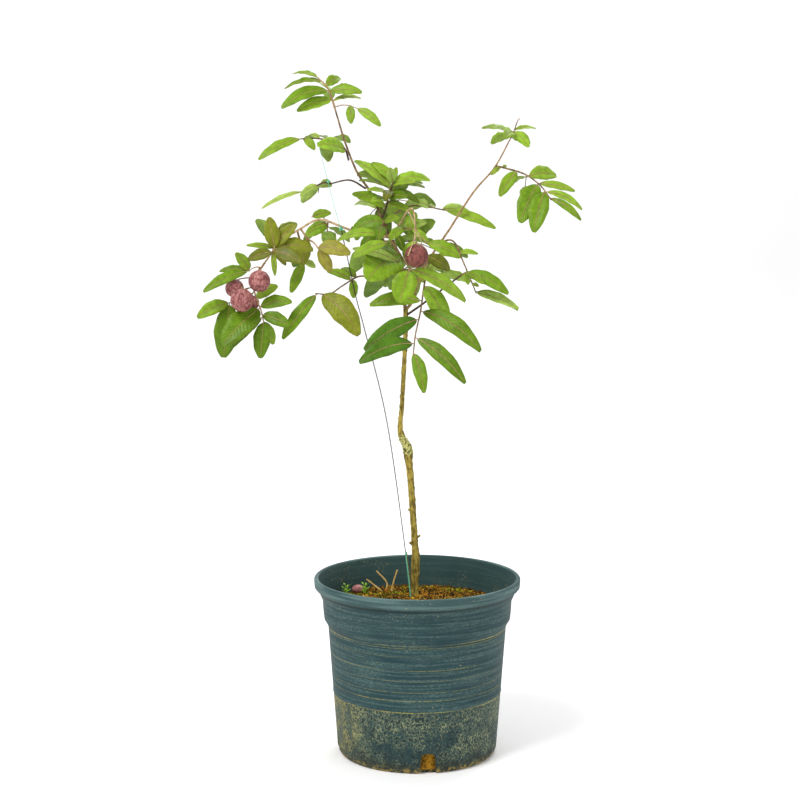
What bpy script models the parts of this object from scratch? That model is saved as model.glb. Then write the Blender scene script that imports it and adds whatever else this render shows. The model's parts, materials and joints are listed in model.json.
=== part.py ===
"""A young longan tree in fruit, standing in a round plastic pot, modelled in metres with +Z up.

The origin is the centre of the pot's flat underside, and the tree is seen from the front along +Y.
Pot, soil, trunk and boughs are turned or swept shapes. Every mass of leaves follows one rule: a stem
leaves its limb, compound leaves branch from the stem, and leaflets stand in turn on the two sides of
each leaf's rib. A leaflet that would touch something is lifted or lowered, or left out.
"""
import math
import random
from collections import namedtuple

import bmesh
import bpy
from mathutils import Matrix, Quaternion, Vector
from mathutils.bvhtree import BVHTree

# Clearance between neighbouring solids, and the slightly larger one that level faces keep
GAP = 0.0003
WALL_GAP = 0.0005

# Pot: a 30 cm nursery pot with a rolled lip, a collar and a tapering body
POT_HEIGHT = 0.260
RIM_RADIUS = 0.150
LIP_HEIGHT = 0.014
THROAT_RADIUS = 0.142
THROAT_HEIGHT = 0.237
COLLAR_RADIUS = 0.138
COLLAR_TOP = 0.228
COLLAR_FOOT_RADIUS = 0.1355
COLLAR_FOOT = 0.200
BODY_TOP = 0.191
BODY_RADIUS = 0.1298
FOOT_RADIUS = 0.1165
FOOT_ROUND = 0.009
POT_WALL = 0.0030
POT_FLOOR = 0.0040
POT_SIDES = 40
# Heights between the body's top and its foot at which the wall has further rings
BODY_RINGS = (0.130, 0.065)

# Four drainage arches that open at the foot of the wall, the first just right of the front
DRAIN_COUNT = 4
DRAIN_WIDTH = 0.021
DRAIN_HEIGHT = 0.031
DRAIN_SPREAD = 1.2
DRAIN_DEPTH = 0.010
DRAIN_SIDES = 12
DRAIN_ANGLE = -82.7

# Soil: heaped from the wall up to the trunk, as radius and height, and its height at the wall
SOIL_HEAP = ((0.0, 0.2275), (0.045, 0.2270), (0.085, 0.2212), (0.115, 0.2168))
SOIL_EDGE = 0.2145

# Trunk: x, y, z and radius from the flat cut on the soil up to the fork
TRUNK = (
    (-0.0030, 0.020, 0.2278, 0.0056),
    (-0.0030, 0.020, 0.2360, 0.0047),
    (-0.0030, 0.020, 0.2460, 0.0052),
    (-0.0028, 0.020, 0.2600, 0.0062),
    (-0.0020, 0.020, 0.2840, 0.0062),
    (-0.0028, 0.020, 0.2960, 0.0051),
    (-0.0048, 0.020, 0.3300, 0.0048),
    (-0.0085, 0.020, 0.3850, 0.0048),
    (-0.0108, 0.020, 0.4140, 0.0051),
    (-0.0125, 0.020, 0.4280, 0.0059),
    (-0.0135, 0.020, 0.4410, 0.0071),
    (-0.0164, 0.020, 0.4500, 0.0056),
    (-0.0212, 0.020, 0.4600, 0.0048),
    (-0.0246, 0.020, 0.4710, 0.0039),
    (-0.0244, 0.020, 0.4830, 0.0035),
    (-0.0226, 0.020, 0.5020, 0.0033),
    (-0.0202, 0.020, 0.5450, 0.0032),
    (-0.0170, 0.020, 0.6120, 0.0033),
    (-0.0170, 0.020, 0.6480, 0.0036),
)
TRUNK_SIDES = 8
# Pruned spurs on the trunk, as part of its length, direction and length
SPUR_THICK = 0.0024
SPUR_THIN = 0.0016
SPURS = (
    (0.175, (-0.9, -0.3, 0.5), 0.0095),
    (0.197, (0.9, -0.2, 0.6), 0.0100),
    (0.293, (-0.8, -0.5, 0.5), 0.0085),
)

Limb = namedtuple("Limb", "route thick thin")
LIMBS = {
    "leader": Limb(((-0.0175, 0.020, 0.6486), (-0.022, 0.024, 0.689), (-0.026, 0.028, 0.724),
                    (-0.045, 0.030, 0.761), (-0.065, 0.024, 0.811), (-0.086, 0.018, 0.843),
                    (-0.103, 0.010, 0.886), (-0.117, 0.004, 0.933)), 0.0030, 0.0013),
    "right_bough": Limb(((-0.017, 0.020, 0.646), (-0.007, 0.022, 0.660), (0.004, 0.030, 0.696),
                         (0.018, 0.036, 0.720), (0.047, 0.044, 0.762), (0.081, 0.054, 0.814),
                         (0.112, 0.060, 0.850), (0.135, 0.060, 0.892)), 0.0026, 0.0011),
    "lower_right_bough": Limb(((-0.017, 0.020, 0.638), (0.010, 0.006, 0.658),
                               (0.060, 0.000, 0.696)), 0.0019, 0.0013),
    "left_bough": Limb(((-0.041, 0.030, 0.752), (-0.065, 0.014, 0.750), (-0.103, -0.008, 0.765),
                        (-0.138, -0.020, 0.777), (-0.164, -0.032, 0.765), (-0.193, -0.044, 0.746),
                        (-0.213, -0.052, 0.719)), 0.0022, 0.0014),
    "drooping_branch": Limb(((-0.074, 0.022, 0.820), (-0.096, 0.006, 0.832),
                             (-0.124, -0.006, 0.827)), 0.0016, 0.0011),
}
LIMB_SIDES = 6

# Green twine that holds the leader's side shoot and the left bough down to the trunk's foot
TWINE = ((-0.1402, -0.0050, 0.8836), (-0.1265, -0.0105, 0.8303), (-0.1126, -0.0132, 0.7763),
         (-0.1084, -0.0137, 0.7637), (-0.0972, -0.0141, 0.7129), (-0.0875, -0.0141, 0.6675),
         (-0.0749, -0.0105, 0.6188), (-0.0501, -0.0040, 0.5188), (-0.0351, -0.0010, 0.4326),
         (-0.0170, 0.0030, 0.2949), (-0.0095, 0.0050, 0.2282))
TWINE_RADIUS = 0.0008
# Below this height a second strand lies beside it
TWINE_PAIR_TOP = 0.300
TWINE_PAIR_RADIUS = 0.0013

# Dry stubs that stand in the soil, each as its foot on the soil and the points above it
STUB_RADIUS = 0.0015
STUBS = {
    "stub_left": ((-0.0510, 0.0650), (-0.0630, 0.0655, 0.2305), (-0.0750, 0.0660, 0.2400)),
    "stub_middle": ((-0.0460, 0.0670), (-0.0450, 0.0670, 0.2350), (-0.0603, 0.0680, 0.2523)),
    "stub_right": ((-0.0375, 0.0650), (-0.0350, 0.0650, 0.2345), (-0.0290, 0.0650, 0.2545)),
}

# A small shrivelled fruit that has dropped on the soil
FALLEN_FRUIT = (-0.0880, 0.0720)
FALLEN_RADIUS = 0.0093
FALLEN_FLAT = 0.68

# Leaves: how thick a blade is, how it folds along its rib and bends to its tip
LEAF_THICK = 0.0018
LEAF_FOLD = 0.20
LEAF_BEND = 0.13
LEAF_ROWS = (0.0, 0.06, 0.25, 0.56, 0.87, 1.0)
LEAF_STALK = 0.05
ROOT_SINK = -0.0008
ROOT_HALF = 0.0013
# Stems, the ribs of the compound leaves and the fruits' stalks
STEM_RADIUS = 0.0016
RIB_RADIUS = 0.0012
RIB_TIP_RADIUS = 0.0008
STEM_SIDES = 4
STALK_ARCH = 0.002
# A stem or limb is shortened at its start by these steps, at most so far, until it stands clear
CLEAR_STEP = 0.0001
CLEAR_MOST = 0.02
# Room kept round a leaflet when it is tested, and how far it may be lifted or lowered, in degrees
MARGIN = 0.0012
LIFTS = (0, 7, -7, 14, -14, 22, -22, 32, -32, 44, -44)
ROLL = 22
PITCH = 9
OWN_ROLL = 7
# Leaflets stand in pairs that crowd towards the rib's tip, and the two of a pair are staggered
PAIR_CROWDING = 1.25
PAIR_STAGGER = 0.03

# A compound leaf. `at` is where on the stem its rib starts and `tip` is where the rib ends: with no
# tip the leaflets stand on the stem itself. `turns` holds one angle from the rib for each leaflet,
# in degrees, clockwise as seen from the side that the blades face. `size` is the length of the
# first and the last leaflet, `bare` the part of the rib without leaflets.
Frond = namedtuple("Frond", "at tip turns size width face bare arch",
                   defaults=((0, 0), 0, (0, -1, 0.3), 0.3, 0.004))
Fruit = namedtuple("Fruit", "at centre radius")
# A leaflet with a place of its own: the rib it stands on, 0 being the stem, where on that rib, its
# tip, its width and the way its blade faces
Leaf = namedtuple("Leaf", "rib at tip width face")
Mass = namedtuple("Mass", "stem room fronds fruits leaves", defaults=((), (), ()))

FRONT = (0, -1, 0.3)
SLOPED = (0, -1, 0.6)
UPWARD = (0, -0.7, 1)
BACK = (0, 1, 0.6)
BACK_UP = (0, 0.6, 1)

MASSES = {
    "crown_tip": Mass(
        ((-0.117, 0.004, 0.933), (-0.1215, 0.002, 0.9483), (-0.1256, 0.001, 0.9587),
         (-0.1318, 0, 0.967), (-0.1409, 0, 0.9753)), 0.13,
        (Frond(0.03, (-0.0845, -0.016, 0.9318), (), arch=0.004),
         Frond(0.4, (-0.128, 0.045, 0.956), (42, -42, 6), (0.045, 0.045), 0.020, BACK_UP)),
        (),
        (Leaf(0, 0.24, (-0.169, -0.014, 0.926), 0.018, SLOPED),
         Leaf(0, 0.5, (-0.191, -0.026, 0.932), 0.021, SLOPED),
         Leaf(0, 0.82, (-0.189, 0.01, 0.96), 0.015, UPWARD),
         Leaf(0, 0.98, (-0.178, 0.024, 0.982), 0.011, UPWARD),
         Leaf(0, 0.66, (-0.109, 0.024, 0.976), 0.015, FRONT),
         Leaf(0, 0.5, (-0.078, -0.01, 0.952), 0.016, SLOPED),
         Leaf(0, 0.2, (-0.079, 0.01, 0.946), 0.011, UPWARD),
         Leaf(1, 0.68, (-0.094, -0.018, 0.91), 0.013, FRONT),
         Leaf(1, 0.98, (-0.052, -0.028, 0.906), 0.014, FRONT))),
    "leader_side": Mass(
        ((-0.098, 0.014, 0.86), (-0.1022, 0.008, 0.8744), (-0.1126, 0.002, 0.8842),
         (-0.1307, -0.004, 0.889), (-0.1501, -0.01, 0.8907), (-0.1655, -0.012, 0.8896)), 0.14,
        (Frond(0.5, (-0.130, 0.045, 0.880), (42, -42, 6), (0.050, 0.050), 0.020, BACK_UP),),
        (),
        (Leaf(0, 0.98, (-0.223, -0.03, 0.86), 0.016, SLOPED),
         Leaf(0, 0.92, (-0.144, -0.026, 0.874), 0.012, FRONT),
         Leaf(0, 0.16, (-0.141, -0.034, 0.884), 0.022, FRONT),
         Leaf(0, 0.38, (-0.09, -0.012, 0.885), 0.013, FRONT),
         Leaf(0, 0.68, (-0.152, 0.008, 0.896), 0.007, FRONT))),
    "left_drooping": Mass(
        ((-0.124, -0.006, 0.827), (-0.1322, -0.01, 0.8289), (-0.1461, -0.014, 0.8226),
         (-0.1628, -0.018, 0.8157)), 0.14,
        (Frond(0.4, (-0.142, 0.040, 0.814), (30, -30), (0.036, 0.036), 0.016, BACK),),
        (),
        (Leaf(0, 0.96, (-0.219, -0.026, 0.791), 0.01, UPWARD),
         Leaf(0, 0.46, (-0.165, -0.03, 0.809), 0.008, FRONT),
         Leaf(0, 0.64, (-0.127, -0.028, 0.809), 0.01, FRONT))),
    "crown_top": Mass(
        ((-0.05, 0.028, 0.779), (-0.0443, 0.02, 0.7952), (-0.0421, 0.012, 0.8053),
         (-0.0385, 0.008, 0.8167), (-0.0349, 0.004, 0.8266), (-0.0342, 0.002, 0.8337)), 0.16,
        (Frond(0.7, (-0.042, 0.055, 0.834), (50, -50, 8), (0.055, 0.055), 0.022, BACK_UP),),
        (),
        (Leaf(0, 0.96, (-0.066, 0.026, 0.857), 0.015, SLOPED),
         Leaf(0, 0.78, (-0.094, 0.04, 0.845), 0.019, UPWARD),
         Leaf(0, 0.74, (-0.08, 0, 0.841), 0.011, UPWARD),
         Leaf(0, 0.62, (-0.072, -0.012, 0.819), 0.013, UPWARD),
         Leaf(0, 0.24, (-0.093, 0.038, 0.808), 0.016, FRONT),
         Leaf(0, 0.16, (-0.123, 0.078, 0.826), 0.014, FRONT),
         Leaf(0, 0.44, (-0.068, -0.016, 0.804), 0.011, SLOPED),
         Leaf(0, 0.88, (-0.04, -0.014, 0.85), 0.014, FRONT),
         Leaf(0, 0.96, (-0.03, 0.004, 0.851), 0.009, FRONT),
         Leaf(0, 0.96, (0.019, 0.018, 0.83), 0.016, SLOPED),
         Leaf(0, 0.88, (0.012, 0.04, 0.82), 0.009, SLOPED),
         Leaf(0, 0.84, (0.005, -0.02, 0.818), 0.014, SLOPED),
         Leaf(0, 0.98, (-0.015, -0.022, 0.826), 0.015, FRONT),
         Leaf(0, 0.7, (-0.046, -0.018, 0.803), 0.014, FRONT),
         Leaf(0, 0.68, (0.004, 0.014, 0.801), 0.013, SLOPED),
         Leaf(0, 0.56, (-0.008, -0.018, 0.802), 0.014, FRONT),
         Leaf(0, 0.8, (0.015, 0.046, 0.797), 0.017, SLOPED),
         Leaf(0, 0.36, (-0.005, 0.002, 0.784), 0.01, SLOPED))),
    "right_crossing": Mass(
        ((-0.047, 0.031, 0.765), (-0.036, 0.045, 0.781), (-0.01, 0.058, 0.794), (0.015, 0.064, 0.793),
         (0.04, 0.066, 0.788)), 0.14,
        (Frond(0.4, (-0.020, 0.095, 0.782), (40, -40, 6), (0.046, 0.046), 0.022, BACK),),
        (),
        (Leaf(0, 0.78, (-0.001, 0.04, 0.8), 0.014, FRONT),
         Leaf(0, 0.8, (0.025, 0.08, 0.795), 0.008, FRONT),
         Leaf(0, 1, (0.113, 0.05, 0.76), 0.017, SLOPED),
         Leaf(0, 0.96, (0.078, 0.092, 0.785), 0.017, SLOPED))),
    "centre_left": Mass(
        ((-0.046, 0.029, 0.772), (-0.0478, 0.014, 0.7727), (-0.0519, -0.004, 0.7633),
         (-0.0532, -0.018, 0.754), (-0.0433, -0.03, 0.7447)), 0.12,
        (),
        (),
        (Leaf(0, 0.1, (-0.096, 0.034, 0.761), 0.022, FRONT),
         Leaf(0, 0.22, (-0.021, 0.006, 0.772), 0.013, SLOPED),
         Leaf(0, 0.4, (-0.057, -0.03, 0.749), 0.017, FRONT),
         Leaf(0, 0.72, (-0.112, -0.034, 0.758), 0.014, SLOPED),
         Leaf(0, 1, (-0.091, -0.05, 0.726), 0.016, FRONT),
         Leaf(0, 0.54, (-0.074, 0.02, 0.738), 0.016, FRONT))),
    "centre_right": Mass(
        ((-0.039, 0.03, 0.744), (-0.0307, 0.018, 0.7561), (-0.0207, 0.006, 0.763),
         (-0.008, -0.006, 0.7634)), 0.12,
        (),
        (),
        (Leaf(0, 0.62, (0.014, 0.016, 0.773), 0.015, FRONT),
         Leaf(0, 0.7, (-0.041, -0.018, 0.748), 0.014, FRONT),
         Leaf(0, 1, (0.015, -0.012, 0.745), 0.01, FRONT),
         Leaf(0, 0.36, (-0.021, 0.022, 0.73), 0.013, FRONT),
         Leaf(0, 0.54, (-0.034, 0.026, 0.772), 0.01, FRONT),
         Leaf(0, 0.92, (-0.006, 0.026, 0.781), 0.016, FRONT))),
    "fruit_spray": Mass(
        ((-0.042, 0.03, 0.753), (-0.031, 0.012, 0.763), (-0.022, -0.005, 0.775),
         (-0.017, -0.018, 0.786), (-0.009, -0.03, 0.793), (-0.005, -0.038, 0.785),
         (-0.004, -0.044, 0.766), (-0.005, -0.052, 0.752), (-0.014, -0.072, 0.729)), 0.12,
        (Frond(0.78, (0.0126, -0.05, 0.7455), (), arch=0.004),
         Frond(0.45, (0.0118, -0.014, 0.7256), (), arch=0.003)),
        (Fruit(0.78, (-0.002, -0.05, 0.7279), 0.0168),),
        (Leaf(1, 1, (0.058, -0.058, 0.724), 0.019, FRONT),
         Leaf(2, 1, (0.045, -0.006, 0.703), 0.019, FRONT),
         Leaf(2, 0.84, (-0.022, 0.006, 0.73), 0.017, FRONT))),
    "front_left": Mass(
        ((-0.029, 0.029, 0.733), (-0.019, -0.005, 0.7185), (-0.009, -0.035, 0.706)), 0.13,
        (Frond(0.9, (-0.0124, -0.052, 0.708), (), arch=0.003),
         Frond(0.4, (-0.0278, -0.014, 0.7172), (), arch=0.003)),
        (),
        (Leaf(0, 0.2, (-0.062, -0.064, 0.710), 0.056, FRONT),
         Leaf(1, 1, (-0.024, -0.066, 0.662), 0.035, FRONT),
         Leaf(1, 0.88, (0.077, -0.06, 0.676), 0.021, SLOPED),
         Leaf(2, 1, (-0.093, 0.014, 0.722), 0.013, FRONT),
         Leaf(2, 1, (-0.045, -0.03, 0.683), 0.017, FRONT))),
    "front_hanging": Mass(
        ((0.018, 0.036, 0.718), (0.01, 0, 0.686), (0.004, -0.025, 0.648), (-0.003, -0.045, 0.618),
         (-0.0065, -0.06, 0.59)), 0.17,
        (),
        (),
        (Leaf(0, 0.66, (-0.077, -0.07, 0.6), 0.027, FRONT),
         Leaf(0, 0.9, (-0.085, -0.074, 0.579), 0.025, FRONT),
         Leaf(0, 0.58, (0.091, -0.06, 0.598), 0.026, FRONT),
         Leaf(0, 0.84, (0.069, -0.078, 0.554), 0.022, FRONT),
         Leaf(0, 0.98, (0.012, -0.082, 0.539), 0.019, FRONT),
         Leaf(0, 0.32, (0.043, -0.026, 0.627), 0.027, FRONT),
         Leaf(0, 0.48, (-0.069, -0.01, 0.657), 0.021, FRONT))),
    "right_inner": Mass(
        ((0.022, 0.037, 0.726), (0.0151, 0.016, 0.7041), (0.0135, 0.004, 0.6948),
         (0.0191, -0.006, 0.6912)), 0.1,
        (),
        (),
        (Leaf(0, 1, (0.092, -0.024, 0.654), 0.016, FRONT),
         Leaf(0, 0.6, (-0.001, 0.002, 0.684), 0.012, FRONT),
         Leaf(0, 0.54, (0.032, 0.02, 0.715), 0.01, FRONT))),
    "lower_right": Mass(
        ((0.06, 0, 0.696), (0.0641, -0.001, 0.6991), (0.0702, -0.006, 0.7032)), 0.1,
        (),
        (),
        (Leaf(0, 1, (0.128, -0.024, 0.671), 0.02, SLOPED),
         Leaf(0, 0.8, (0.096, -0.036, 0.68), 0.012, FRONT),
         Leaf(0, 0.64, (0.072, -0.01, 0.684), 0.008, FRONT))),
    "right_rachis": Mass(
        ((0.036, 0.04, 0.742), (0.0413, 0.038, 0.7453), (0.0499, 0.034, 0.7455), (0.057, 0.03, 0.7378),
         (0.0612, 0.026, 0.7265), (0.0683, 0.02, 0.7096), (0.0753, 0.014, 0.6928),
         (0.0837, 0.006, 0.6718)), 0.14,
        (),
        (),
        (Leaf(0, 0.36, (0.088, 0.02, 0.728), 0.008, FRONT),
         Leaf(0, 0.98, (0.146, 0.016, 0.648), 0.013, SLOPED),
         Leaf(0, 1, (0.143, -0.012, 0.644), 0.014, SLOPED),
         Leaf(0, 0.46, (0.027, 0.03, 0.725), 0.008, SLOPED),
         Leaf(0, 0.86, (0.088, 0.004, 0.681), 0.006, FRONT))),
    "right_tip": Mass(
        ((0.135, 0.06, 0.892), (0.137, 0.059, 0.898), (0.14, 0.058, 0.903)), 0.09,
        (Frond(1, (0.148, 0.057, 0.920), ()),
         Frond(0.3, (0.137, 0.085, 0.896), (50, -50), (0.036, 0.036), 0.020, BACK_UP, 1)),
        (),
        (Leaf(0, 0.62, (0.092, 0.04, 0.905), 0.015, UPWARD),
         Leaf(0, 0.72, (0.113, 0.044, 0.875), 0.018, FRONT),
         Leaf(0, 0.78, (0.161, 0.046, 0.88), 0.015, FRONT),
         Leaf(0, 1, (0.172, 0.074, 0.902), 0.009, UPWARD))),
    "right_arm": Mass(
        ((0.114, 0.06, 0.852), (0.13, 0.055, 0.848), (0.155, 0.045, 0.84), (0.176, 0.028, 0.824),
         (0.19, 0.008, 0.804)), 0.14,
        (Frond(0.45, (0.158, 0.085, 0.822), (50, -50, 8), (0.046, 0.046), 0.020, BACK_UP),),
        (),
        (Leaf(0, 0.06, (0.106, 0.05, 0.838), 0.007, FRONT),
         Leaf(0, 0.1, (0.13, 0.066, 0.853), 0.005, FRONT),
         Leaf(0, 0.3, (0.118, 0.036, 0.808), 0.018, FRONT),
         Leaf(0, 0.48, (0.203, 0.066, 0.837), 0.023, SLOPED),
         Leaf(0, 0.66, (0.226, 0.03, 0.814), 0.012, SLOPED),
         Leaf(0, 0.66, (0.144, 0.004, 0.772), 0.03, FRONT),
         Leaf(0, 0.82, (0.161, -0.008, 0.759), 0.028, FRONT),
         Leaf(0, 0.84, (0.237, 0.026, 0.791), 0.012, SLOPED),
         Leaf(0, 0.96, (0.232, -0.004, 0.775), 0.011, FRONT))),
    "left_inner": Mass(
        ((-0.164, -0.032, 0.764), (-0.154, -0.036, 0.751), (-0.145, -0.04, 0.745),
         (-0.1385, -0.045, 0.736)), 0.11,
        (),
        (),
        (Leaf(0, 0.9, (-0.093, -0.05, 0.732), 0.022, FRONT),
         Leaf(0, 0.98, (-0.121, -0.06, 0.707), 0.017, FRONT),
         Leaf(0, 0.36, (-0.162, -0.026, 0.712), 0.019, FRONT))),
    "left_back": Mass(
        ((-0.131, -0.018, 0.776), (-0.128, 0.01, 0.774), (-0.13, 0.04, 0.758)), 0.12,
        (Frond(0.5, (-0.1502, 0.006, 0.78), (), arch=0.006),
         Frond(1, None, (50, -50, 8), (0.045, 0.045), 0.021, BACK_UP, 0.8)),
        (),
        (Leaf(1, 1, (-0.123, 0.016, 0.787), 0.013, FRONT),
         Leaf(0, 0.74, (-0.162, 0.01, 0.753), 0.018, FRONT),
         Leaf(0, 0.62, (-0.154, -0.004, 0.763), 0.012, FRONT))),
    "left_under": Mass(
        ((-0.169, -0.034, 0.762), (-0.1644, -0.024, 0.743), (-0.1623, -0.014, 0.7285),
         (-0.1612, -0.008, 0.7154)), 0.1,
        (),
        (),
        (Leaf(0, 0.96, (-0.178, -0.01, 0.672), 0.016, FRONT),
         Leaf(0, 0.76, (-0.183, 0.004, 0.706), 0.015, FRONT),
         Leaf(0, 0.96, (-0.145, 0.002, 0.708), 0.01, FRONT))),
    "left_outer": Mass(
        ((-0.202, -0.047, 0.737), (-0.1989, -0.056, 0.7389), (-0.2026, -0.064, 0.7337)), 0.1,
        (Frond(0.6, (-0.198, -0.024, 0.742), (40, -40), (0.040, 0.040), 0.020, BACK, arch=0.018),),
        (),
        (Leaf(0, 0.58, (-0.209, -0.06, 0.782), 0.021, FRONT),
         Leaf(0, 0.48, (-0.171, -0.062, 0.774), 0.019, FRONT),
         Leaf(0, 0.48, (-0.146, -0.066, 0.739), 0.022, FRONT),
         Leaf(0, 0.88, (-0.16, -0.08, 0.719), 0.022, FRONT),
         Leaf(0, 1, (-0.236, -0.07, 0.722), 0.016, FRONT),
         Leaf(0, 0.26, (-0.239, -0.062, 0.741), 0.008, FRONT),
         Leaf(0, 0.88, (-0.198, -0.062, 0.7), 0.008, FRONT),
         Leaf(0, 0.88, (-0.182, -0.04, 0.712), 0.011, FRONT))),
    "left_fruit": Mass(
        ((-0.2136, -0.0523, 0.7182), (-0.225, -0.043, 0.702), (-0.231, -0.041, 0.688),
         (-0.226, -0.05, 0.668), (-0.219, -0.058, 0.652), (-0.215, -0.062, 0.635)), 0.15,
        (Frond(0.1, (-0.2356, -0.054, 0.7068), (), arch=0.003),
         Frond(0.42, (-0.2635, -0.052, 0.6619), (), arch=0.003)),
        (Fruit(0.15, (-0.2201, -0.07, 0.6938), 0.0154), Fruit(0.45, (-0.2436, -0.08, 0.6678), 0.0163),
         Fruit(0.3, (-0.2559, -0.056, 0.6828), 0.0132), Fruit(0.5, (-0.2334, -0.044, 0.6613), 0.0112)),
        (Leaf(1, 1, (-0.252, -0.066, 0.734), 0.016, FRONT),
         Leaf(1, 1, (-0.247, -0.084, 0.684), 0.018, FRONT),
         Leaf(1, 1, (-0.278, -0.05, 0.704), 0.01, FRONT),
         Leaf(1, 1, (-0.295, -0.04, 0.668), 0.016, FRONT),
         Leaf(2, 1, (-0.308, -0.06, 0.64), 0.02, FRONT),
         Leaf(2, 1, (-0.271, -0.064, 0.584), 0.035, FRONT),
         Leaf(0, 0.78, (-0.27, -0.09, 0.604), 0.036, FRONT),
         Leaf(0, 0.92, (-0.259, -0.074, 0.604), 0.017, FRONT),
         Leaf(0, 0.98, (-0.219, -0.068, 0.585), 0.024, FRONT),
         Leaf(0, 0.76, (-0.175, -0.06, 0.665), 0.019, FRONT),
         Leaf(0, 0.88, (-0.178, -0.07, 0.628), 0.019, FRONT),
         Leaf(0, 0.98, (-0.203, -0.04, 0.602), 0.015, FRONT),
         Leaf(0, 0.62, (-0.197, -0.034, 0.686), 0.017, FRONT))),
    "left_low": Mass(
        ((-0.0255, 0.028, 0.716), (-0.045, 0.015, 0.704), (-0.066, 0.003, 0.696),
         (-0.0845, -0.006, 0.696), (-0.106, -0.016, 0.684), (-0.124, -0.026, 0.673),
         (-0.144, -0.036, 0.674)), 0.18,
        (),
        (),
        (Leaf(0, 0.98, (-0.189, -0.046, 0.609), 0.019, FRONT),
         Leaf(0, 0.94, (-0.08, -0.06, 0.618), 0.035, FRONT),
         Leaf(0, 0.56, (-0.09, -0.02, 0.667), 0.013, FRONT),
         Leaf(0, 0.58, (-0.129, -0.004, 0.705), 0.012, FRONT),
         Leaf(0, 0.52, (-0.109, 0.006, 0.708), 0.011, FRONT))),
    "back_high": Mass(
        ((-0.058, 0.026, 0.795), (-0.052, 0.055, 0.799), (-0.044, 0.095, 0.789)), 0.15,
        (Frond(0, None, (50, -60, 20), (0.058, 0.058), 0.023, BACK_UP, 0.6),
         Frond(0.6, (-0.074, 0.105, 0.774), (50, -50, 8), (0.052, 0.052), 0.022, BACK),
         Frond(0.6, (-0.014, 0.112, 0.800), (50, -50, 8), (0.052, 0.052), 0.022, BACK))),
    "back_middle": Mass(
        ((-0.037, 0.029, 0.739), (-0.032, 0.065, 0.745), (-0.022, 0.115, 0.735)), 0.16,
        (Frond(0, None, (70, -66, 50, -46, 12), (0.062, 0.062), 0.024, BACK_UP, 0.45),
         Frond(0.45, (-0.076, 0.105, 0.728), (60, -60, 20), (0.056, 0.056), 0.023, BACK),
         Frond(0.6, (0.028, 0.118, 0.728), (60, -60, 20), (0.056, 0.056), 0.023, BACK))),
    "back_low": Mass(
        ((-0.022, 0.024, 0.689), (-0.02, 0.06, 0.703), (-0.012, 0.1, 0.696)), 0.16,
        (Frond(0, None, (70, -66, 50, -46, 12), (0.060, 0.060), 0.024, BACK_UP, 0.5),
         Frond(0.6, (-0.050, 0.100, 0.690), (44, -50, 8), (0.052, 0.052), 0.022, BACK),
         Frond(0.6, (0.030, 0.104, 0.690), (60, -60, 20), (0.056, 0.056), 0.022, BACK))),
}


def collection(name):
    """A new collection in the scene."""
    made = bpy.data.collections.new(name)
    bpy.context.scene.collection.children.link(made)
    return made


def material(name, colour, roughness, metallic=0.0):
    """A plain Principled material."""
    made = bpy.data.materials.new(name)
    made.use_nodes = True
    shader = made.node_tree.nodes["Principled BSDF"]
    shader.inputs["Base Color"].default_value = (*colour, 1.0)
    shader.inputs["Roughness"].default_value = roughness
    shader.inputs["Metallic"].default_value = metallic
    return made


def smooth(route, per_leg=2):
    """Points of one smooth curve through a route's own points."""
    own = [Vector(point) for point in route]
    own = [2 * own[0] - own[1]] + own + [2 * own[-1] - own[-2]]
    points = []
    for a, b, c, d in zip(own, own[1:], own[2:], own[3:]):
        for step in range(per_leg):
            t = step / per_leg
            points.append(0.5 * (2 * b + (c - a) * t + (2 * a - 5 * b + 4 * c - d) * t ** 2
                                 + (3 * b - a - 3 * c + d) * t ** 3))
    points.append(own[-2])
    return points


def along(points, part):
    """The place and the direction at a part of a curve's length."""
    legs = [(b - a).length for a, b in zip(points, points[1:])]
    left = part * sum(legs)
    for a, b, leg in zip(points, points[1:], legs):
        if left <= leg or b is points[-1]:
            return a.lerp(b, left / leg), (b - a).normalized()
        left -= leg
    return points[-1], (points[-1] - points[-2]).normalized()


def arc(start, tip, arch):
    """Four points of an arched rib between two places."""
    crest = (start + tip) / 2 + Vector((0, 0, 2 * arch))
    return [start.lerp(crest, t).lerp(crest.lerp(tip, t), t) for t in (0, 0.33, 0.67, 1)]


def taper(count, thick, thin):
    """Radii that shrink evenly from thick to thin."""
    return [thick + (thin - thick) * k / (count - 1) for k in range(count)]


def ring_slab(points, radii, extra):
    """Corners and faces of a four-sided tube, as a stand-in for tests."""
    corners = []
    for k, (point, radius) in enumerate(zip(points, radii)):
        run = (points[min(k + 1, len(points) - 1)] - points[max(k - 1, 0)]).normalized()
        across = run.orthogonal().normalized()
        for turn in range(4):
            corners.append(point + Quaternion(run, turn * math.pi / 2) @ across * (radius + extra))
    faces = []
    for k in range(len(points) - 1):
        for turn in range(4):
            a = 4 * k + turn
            b = 4 * k + (turn + 1) % 4
            faces.append((a, b, b + 4, a + 4))
    return corners, faces


def leaf_outline(u):
    """Half the blade's width at a part of its length, as a share of its greatest half width."""
    blade = max(u - LEAF_STALK, 0) / (1 - 0.6 * LEAF_STALK)
    return math.sin(math.pi * blade ** 0.85) ** 0.68


def leaf_shape(u, w, rise, length, width):
    """A point of the blade: u from root to tip, w from edge to edge and rise off its face."""
    half = max(0.5 * width * leaf_outline(u), ROOT_HALF * (1 - u))
    bend = LEAF_BEND * length * u * u
    return Vector((ROOT_SINK + u * length, w * half, LEAF_FOLD * abs(w) * half - bend + rise))


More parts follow.
